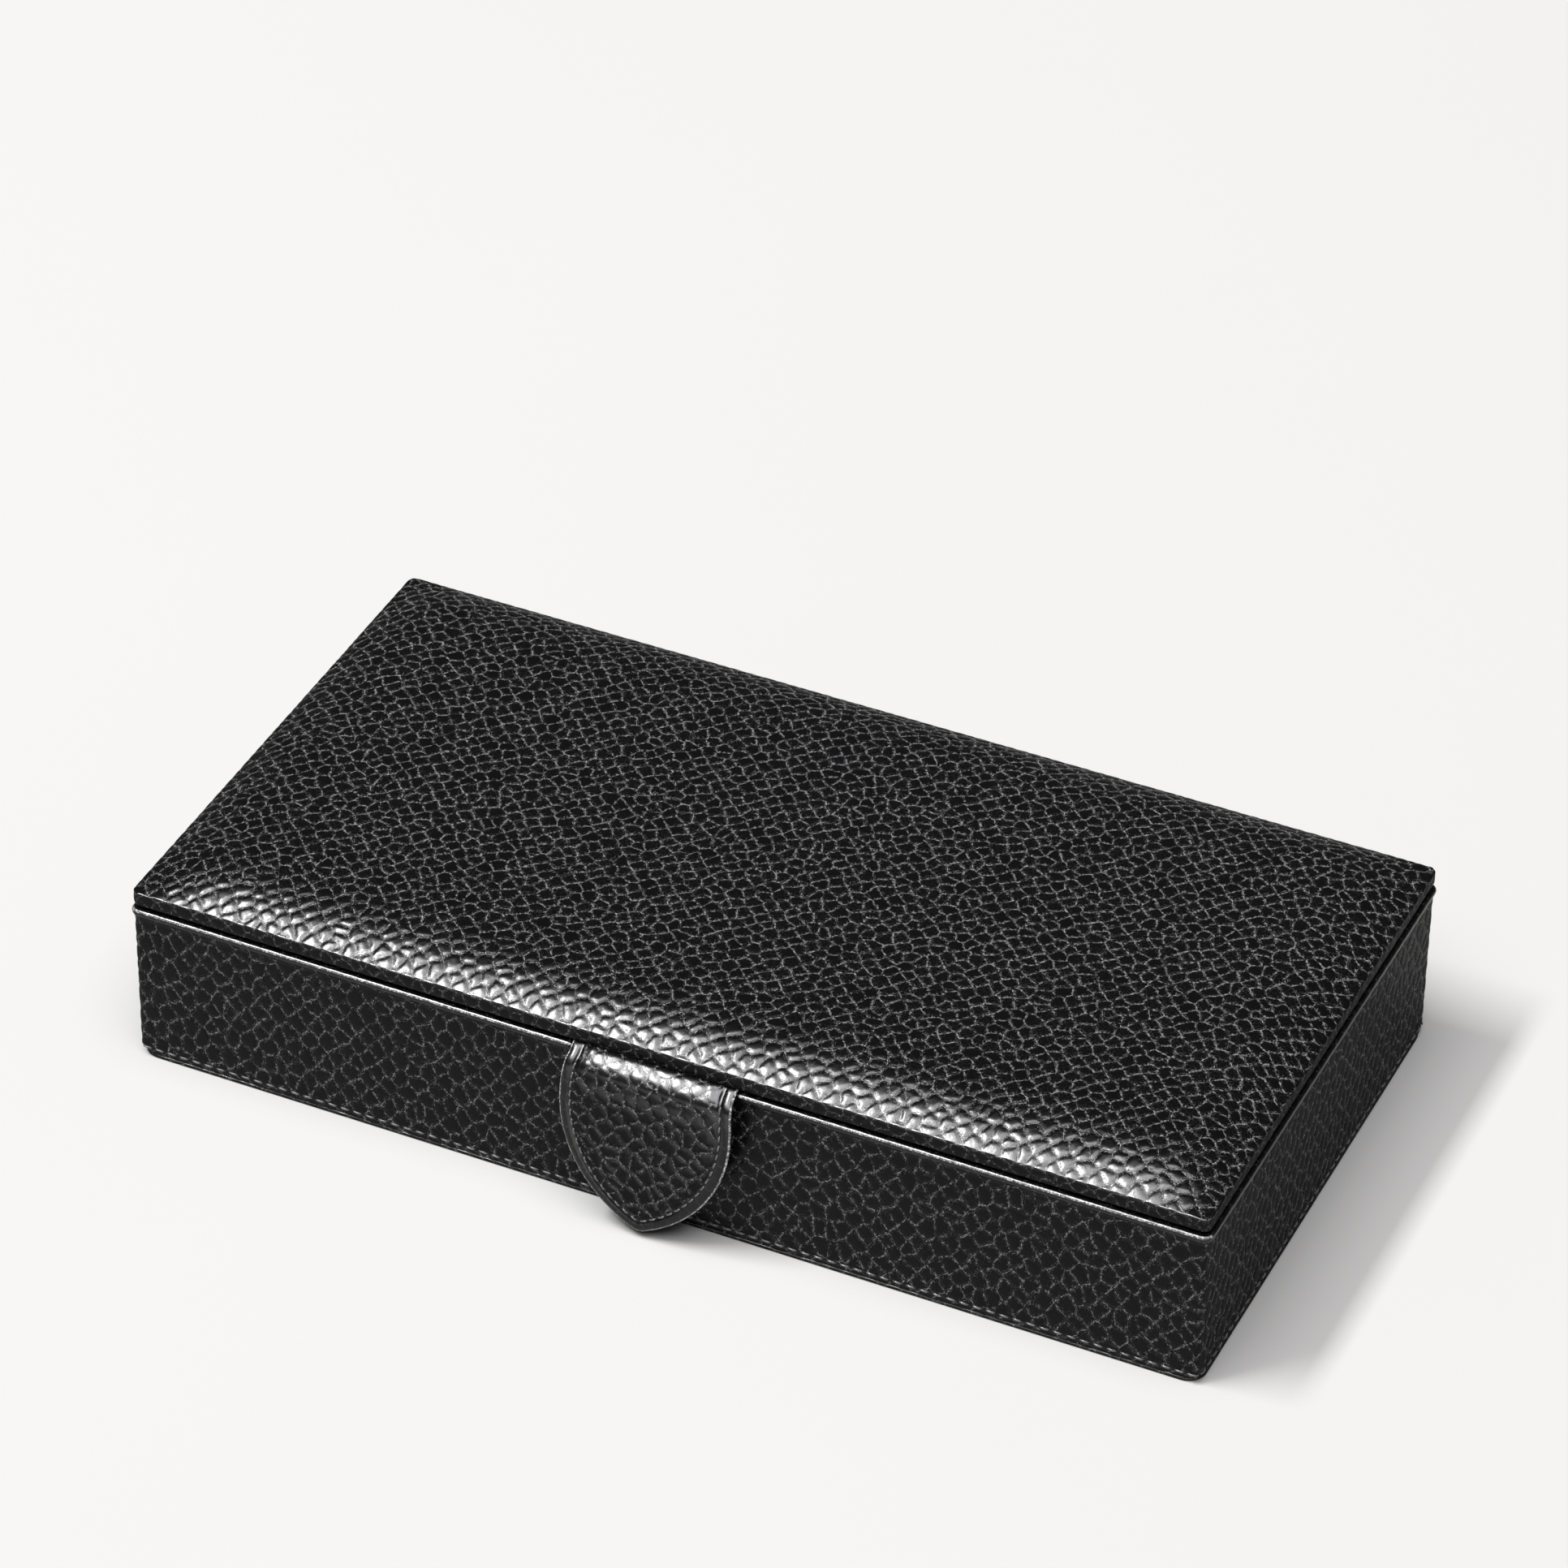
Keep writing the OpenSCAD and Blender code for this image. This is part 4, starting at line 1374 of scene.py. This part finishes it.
    def build_face(self) -> bpy.types.Object:
        """Builds the front leather together with its tongue under the lid."""
        surface = Surface()
        front = ((0.0, None, 0.0), (0.12, -0.55, -0.28), (0.38, -0.26, -0.26), (0.8, -0.05, 0.05),
                 (1.5, 0.08, 0.1), (2.2, 0.04, 0.1), (2.65, -0.10, 0.10), (2.95, -0.36, 0.0),
                 (3.3, -0.50, 0.0), (3.65, -0.36, 0.0), (3.95, -0.08, 0.3), (4.3, 0.08, 0.5),
                 (4.9, 0.18, 0.62), (5.6, 0.22, 0.62))
        profile = []
        for inset, height, share in front:
            if height is None:
                profile.append((inset * MM, lambda length: -self.body_thick(length) / 2, share))
            else:
                profile.append((inset * MM, lambda length, h=height * MM: h * self.shown(length), share))
        first, top_edge = self.sheet(surface, profile, self.crown, self.start, self.step)
        back = [(0.0, None), (0.12, 0.35), (0.45, 0.10), (0.9, 0.0), (4.2, 0.0)]
        profile = [(inset * MM, lambda length, h=(height or 0.0) * MM: h - self.body_thick(length), 0.0)
                   for inset, height in back]
        _, back_edge = self.sheet(surface, profile, self.pocket, self.start, self.step, shared=first)
        surface.polygon([*top_edge, *back_edge[-2:0:-1]])
        piece = self.grain.press(surface.piece("tab_front_leather_cover", self.leather))
        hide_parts("tab_front_leather", "tab_tongue")
        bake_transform(piece)
        LOG.info("%s: %d faces, bends from lid to tab", piece.name, len(piece.data.polygons))
        return piece

    def pocket(self, x: Array, length: Array) -> Array:
        """Back of the front leather in the field, hollowed for the pad below the fold."""
        share = np.clip((length - 6 * MM) / (3 * MM), 0, 1)
        return -self.body_thick(length) + 0.8 * MM * share + 0 * x

    def plate(self, name: str, material: bpy.types.Material, inset: float, over: float, under: float,
              top: float) -> bpy.types.Object:
        """Builds a flat layer with rounded edges.

        Args:
            name: the piece's name.
            material: its material.
            inset: how far its edge lies inside the tab's.
            over: height of its front.
            under: height of its back.
            top: length below the fold where it starts.

        Returns:
            The new piece.
        """
        surface = Surface()
        middle, half = (over + under) / 2, (over - under) / 2
        turns = [(0.0, 0.0), (0.3, 0.6), (0.75, 0.9), (1.6, 1.0)]
        edges = []
        shared = None
        for side in (1, -1):
            profile = [(inset + half * out, lambda length, h=middle + side * half * up: h + 0 * length, 0.5)
                       for out, up in turns]
            level = middle + side * half
            first, edge = self.sheet(surface, profile, lambda x, length, h=level: h + 0 * (x + length), top,
                                     1.2 * MM, shared)
            shared = first
            edges.append(edge)
        surface.polygon([*edges[0], *edges[1][-2:0:-1]])
        return surface.piece(name, material)

    def build_stitches(self) -> bpy.types.Object:
        """Builds the stitches along both sides of the tab."""
        half = self.outline(self.border, 2.0 * MM, self.step)
        ring = self.rounded_tip(np.concatenate([half * (-1, 1), half[-2::-1]]), 6)
        travel = travelled(ring)
        count = round(travel[-1] / self.stitch_pitch)
        middle = (np.arange(count) + 0.5) * travel[-1] / count

        def spot(distance: Array) -> Array:
            """Points of the seam at a distance along it."""
            x, length = (np.interp(distance, travel, ring[:, axis]) for axis in (0, 1))
            return self.bend(x, length, np.full(len(x), -self.stitch_sunk))

        centre = spot(middle)
        along = spot(middle + 0.3 * MM) - spot(middle - 0.3 * MM)
        along /= np.linalg.norm(along, axis=1, keepdims=True)
        length = np.interp(middle, travel, ring[:, 1])
        normal = [np.interp(length, self.lengths, self.normals[:, axis]) for axis in (0, 1)]
        outward = np.stack([0 * length, *normal], -1)
        run = StitchRun(self.thread, self.stitch_length, self.stitch_radius)
        return run.build("tab_stitches", centre, along, outward)

    def make(self) -> None:
        """Builds the tab's pieces and lets all of them but the front leather ride on the tab."""
        self.build_face()
        back = self.plate("tab_back_leather_cover", self.leather, inset=0.35 * MM, over=-1.84 * MM,
                          under=-self.thick, top=1.0 * MM)
        settle(back, Body.TAB, Slot.LEATHER, "tab_back_leather")
        pad = self.plate("tab_pad", self.foam, inset=self.border + 1.4 * MM, over=-1.06 * MM,
                         under=-1.78 * MM, top=9.5 * MM)
        settle(pad, Body.TAB, Slot.FOAM, "tab_padding")
        settle(self.build_stitches(), Body.TAB, Slot.THREAD, "tab_stitching")


# ------------------------------------------------------------------------------------- linings and hardware


@dataclass
class Lining:
    """Suede on the floor, walls, dividers and card blocks of the base, and on the panel inside the lid."""

    suede: bpy.types.Material
    edge_round: float = 0.8 * MM
    floor_round: float = 0.35 * MM
    step: float = 4 * MM

    def box_piece(self, node: str, name: str, body: Body, radius: float) -> None:
        """Builds a soft-edged piece in place of a CAD node."""
        low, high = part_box(node)
        settle(soft_box(name, low, high, radius, self.step, self.suede), body, Slot.SUEDE, node)

    def build_walls(self) -> bpy.types.Object:
        """Builds the suede on the walls, rounded along its top."""
        low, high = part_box("wall_lining")
        inner = high.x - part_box("floor_lining")[1].x
        tongue_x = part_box("tab_tongue")[1].x
        plan = RoundedPlan((high.x, high.y), 0.3 * MM, 3 * MM, corner_gaps=2)
        surface, rows = Surface(), []
        bulge = inner - 0.05 * MM
        section = [(0.02 * MM, low.z), (0.02 * MM, high.z), (inner - 0.3 * MM, high.z),
                   (bulge, high.z - 0.3 * MM)]
        section += [(bulge, z) for z in np.linspace(high.z - 4 * MM, low.z, 8)]
        for inset, z in section:
            points = plan.ring(inset, z, 0.3 * MM)
            front = (np.abs(points[:, 0]) < tongue_x) & (points[:, 1] < 0)
            points[:, 2] = np.where(front, np.minimum(points[:, 2], high.z - 0.05 * MM), points[:, 2])
            rows.append(surface.add(points))
        surface.quads(np.stack([*rows, rows[0]]), closed=True)
        return surface.piece("wall_suede", self.suede)

    def build_panel(self) -> bpy.types.Object:
        """Builds the lid's suede panel as a shallow tray round its board."""
        low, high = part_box("lid_panel_suede")
        board_low, board_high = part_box("lid_panel_board")
        wrap = high.x - board_high.x
        plan = RoundedPlan((high.x, high.y), 1.2 * MM, 3 * MM)
        surface = Surface()
        s, t = plan.grid()
        turns = np.linspace(0, math.pi / 2, 4)
        round_by = self.edge_round

        def level(inset: float, z: float) -> Array:
            """Adds a flat grid at one inset and height."""
            flat = plan.place(s, t, inset)
            ids = surface.add(lifted(flat, z))
            surface.quads(ids)
            return ids

        last = plan.edge_ids(level(round_by, low.z))
        rings = [(round_by * (1 - math.sin(a)), low.z + round_by * (1 - math.cos(a))) for a in turns[1:]]
        rings += [(0.0, high.z), (wrap, high.z)]
        for inset, z in rings:
            ids = surface.add(plan.ring(inset, z))
            surface.quads(np.stack([last, ids]), closed=True)
            last = ids
        inside = level(wrap, board_low.z - 0.01 * MM)
        surface.quads(np.stack([last, plan.edge_ids(inside)]), closed=True)
        return surface.piece("lid_panel_suede_cover", self.suede)

    def make(self) -> None:
        """Builds every suede piece."""
        self.box_piece("floor_lining", "floor_suede", Body.BASE, self.floor_round)
        settle(self.build_walls(), Body.BASE, Slot.SUEDE, "wall_lining")
        dividers = [f"chip_divider_{number}" for number in range(1, 5)]
        for node in (*dividers, "bay_divider", "card_divider", "card_block_front", "card_block_back"):
            self.box_piece(node, f"{node}_suede", Body.BASE, self.edge_round)
        settle(self.build_panel(), Body.LID, Slot.SUEDE, "lid_panel_suede")


@dataclass
class Carcass:
    """CAD nodes whose shape is right as it is: the wooden carcass, the panel's card and the hinges."""

    long_wood: bpy.types.Material
    cross_wood: bpy.types.Material
    card: bpy.types.Material
    brass: bpy.types.Material
    soft_words: tuple[tuple[str, Slot], ...] = (("stitch", Slot.THREAD), ("padding", Slot.FOAM),
                                                ("leather", Slot.LEATHER), ("tongue", Slot.LEATHER))

    def make(self, nodes: dict[str, bpy.types.Object], hidden: dict[Slot, bpy.types.Material]) -> None:
        """Dresses the CAD nodes.

        Args:
            nodes: every CAD node by name.
            hidden: the finish of each slot, for nodes that other pieces stand for.
        """
        shown = {"bottom_board": self.long_wood, "front_wall": self.long_wood, "back_wall": self.long_wood,
                 "lid_board": self.long_wood, "left_wall": self.cross_wood, "right_wall": self.cross_wood,
                 "lid_panel_board": self.card}
        for side in ("left", "right"):
            shown |= {f"base_leaf_{side}": self.brass, f"lid_leaf_{side}": self.brass,
                      f"hinge_pin_{side}": self.brass}
        shown |= {"base_hinge_screws": self.brass, "lid_hinge_screws": self.brass}
        for name, node in nodes.items():
            material = shown.get(name)
            if material is None:
                slots = [slot for word, slot in self.soft_words if word in name]
                material = hidden[slots[0] if slots else Slot.SUEDE]
            node.data.materials.clear()
            node.data.materials.append(material)
        LOG.info("carcass and hinges: %d CAD nodes keep their shape", len(shown))


# -------------------------------------------------------------------------------------------------- studio


@dataclass
class Studio:
    """Camera, pale floor and soft light."""

    camera_place: tuple[float, float, float] = (0.62422, -1.37364, 1.22293)
    azimuth: float = math.radians(24.483)
    elevation: float = math.radians(36.898)
    roll: float = math.radians(0.878)
    lens: float = 158.69
    sensor: float = 36.0
    key_from: tuple[float, float, float] = (-0.39, -0.25, 0.88)
    key_distance: float = 8.0
    key_width: float = 2 * math.tan(math.radians(3.0))
    key_length: float = 2 * math.tan(math.radians(12.0))
    key_glow: float = 47.0
    key_colour: Colour = (1.0, 1.0, 0.985)
    fill_from: tuple[float, float, float] = (0.05, -0.30, 0.95)
    fill_power: float = 3.24
    fill_colour: Colour = (0.995, 0.975, 1.0)
    fill_spread: float = math.radians(56)
    surround: float = 0.06
    floor_half: float = 8.0
    floor_drop: float = 0.02 * MM
    floor_dark: Colour = (0.519, 0.521, 0.508)
    floor_light: Colour = (0.523, 0.525, 0.512)

    def place_camera(self) -> None:
        """Sets the camera to look at the case from above its right front corner."""
        az, el, roll = self.azimuth, self.elevation, self.roll
        right = Vector((math.cos(az), math.sin(az), 0.0))
        up = Vector((-math.sin(az) * math.sin(el), math.cos(az) * math.sin(el), math.cos(el)))
        back = Vector((math.sin(az) * math.cos(el), -math.cos(az) * math.cos(el), math.sin(el)))
        across = right * math.cos(roll) + up * math.sin(roll)
        upward = up * math.cos(roll) - right * math.sin(roll)
        data = bpy.data.cameras.new("camera")
        data.lens, data.sensor_width = self.lens, self.sensor
        data.clip_start, data.clip_end = 0.05, 50.0
        camera = bpy.data.objects.new("camera", data)
        turn = Matrix((across, upward, back)).transposed().to_4x4()
        camera.matrix_world = Matrix.Translation(self.camera_place) @ turn
        bpy.context.scene.collection.objects.link(camera)
        bpy.context.scene.camera = camera

    def lay_floor(self) -> None:
        """Lays a pale floor."""
        material, wires, shader = fresh_material("pale_floor")
        cloud = wires.noise(wires.object_place(), 3.0, 3.0)
        wires.paint(shader, wires.fade(cloud, 0.2, 0.8), self.floor_dark, self.floor_light)
        shader.inputs["Roughness"].default_value = 0.9
        shader.inputs["Specular IOR Level"].default_value = 0.0
        surface = Surface()
        line = np.linspace(-self.floor_half, self.floor_half, 9)
        x, y = np.meshgrid(line, line)
        surface.quads(surface.add(np.stack([x, y, 0 * x - self.floor_drop], -1)))
        floor = surface.piece("floor", material)

    def hang_lights(self) -> None:
        """Hangs the key light and makes the soft surroundings."""
        toward = Vector(self.key_from).normalized()
        along = (Vector((0.0, 1.0, 0.0)) - toward * toward.y).normalized()
        key = bpy.data.lights.new("key_strip", "AREA")
        key.shape = "RECTANGLE"
        key.size, key.size_y = self.key_width * self.key_distance, self.key_length * self.key_distance
        key.energy, key.color = self.key_glow * 4 * key.size * key.size_y, self.key_colour
        turn = Matrix((along.cross(toward), along, toward)).transposed().to_4x4()
        lamp = bpy.data.objects.new("key_strip", key)
        lamp.matrix_world = Matrix.Translation(toward * self.key_distance) @ turn
        bpy.context.scene.collection.objects.link(lamp)

        fill = bpy.data.lights.new("fill_dome", "SUN")
        fill.energy, fill.angle, fill.color = self.fill_power, self.fill_spread, self.fill_colour
        dome = bpy.data.objects.new("fill_dome", fill)
        dome.rotation_mode = "QUATERNION"
        dome.rotation_quaternion = Vector(self.fill_from).to_track_quat("Z", "Y")
        bpy.context.scene.collection.objects.link(dome)

        world = bpy.data.worlds.new("studio")
        bpy.context.scene.world = world
        world.use_nodes = True
        world.node_tree.nodes.clear()
        wires = Wires(world.node_tree)
        background = wires.node("ShaderNodeBackground")
        background.inputs["Color"].default_value = (*[self.surround] * 3, 1.0)
        wires.feed(wires.node("ShaderNodeOutputWorld").inputs["Surface"], background.outputs[0])

    def make(self) -> None:
        """Sets up the whole studio."""
        self.place_camera()
        self.lay_floor()
        self.hang_lights()
        view = bpy.context.scene.view_settings
        view.view_transform, view.look, view.exposure, view.gamma = "Standard", "None", 0.0, 1.0
        LOG.info("studio ready")


def main() -> None:
    """Builds the case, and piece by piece."""
    logging.basicConfig(level=logging.INFO, format="%(name)s: %(message)s")
    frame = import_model()
    Studio().make()

    grain = PebbleGrain()
    leather, suede, foam = Leather(grain=grain).material(), Suede().material(), Foam().material()
    thread, brass = Thread().material(), Brass().material()
    long_wood = Board("birch_ply_long", (0.06, 1.0, 1.0)).material()
    cross_wood = Board("birch_ply_cross", (1.0, 0.06, 1.0)).material()
    card = Board("grey_card", (0.5, 0.5, 1.0), (0.28, 0.26, 0.22), (0.40, 0.37, 0.32)).material()

    hidden = {Slot.LEATHER: leather, Slot.SUEDE: suede, Slot.FOAM: foam, Slot.THREAD: thread}
    Carcass(long_wood, cross_wood, card, brass).make(frame["nodes"], hidden)
    LidCover(leather, foam, grain).make()
    BaseCover(leather, thread, grain).make()
    flex = next(joint for joint in frame["joints"] if joint["name"] == "tab_flex")
    place = flex["pos_m"]
    PullTab(leather, foam, thread, grain, fold=(place[1], place[2])).make()
    Lining(suede).make()

    LOG.info("size written")


if __name__ == "__main__":
    main()
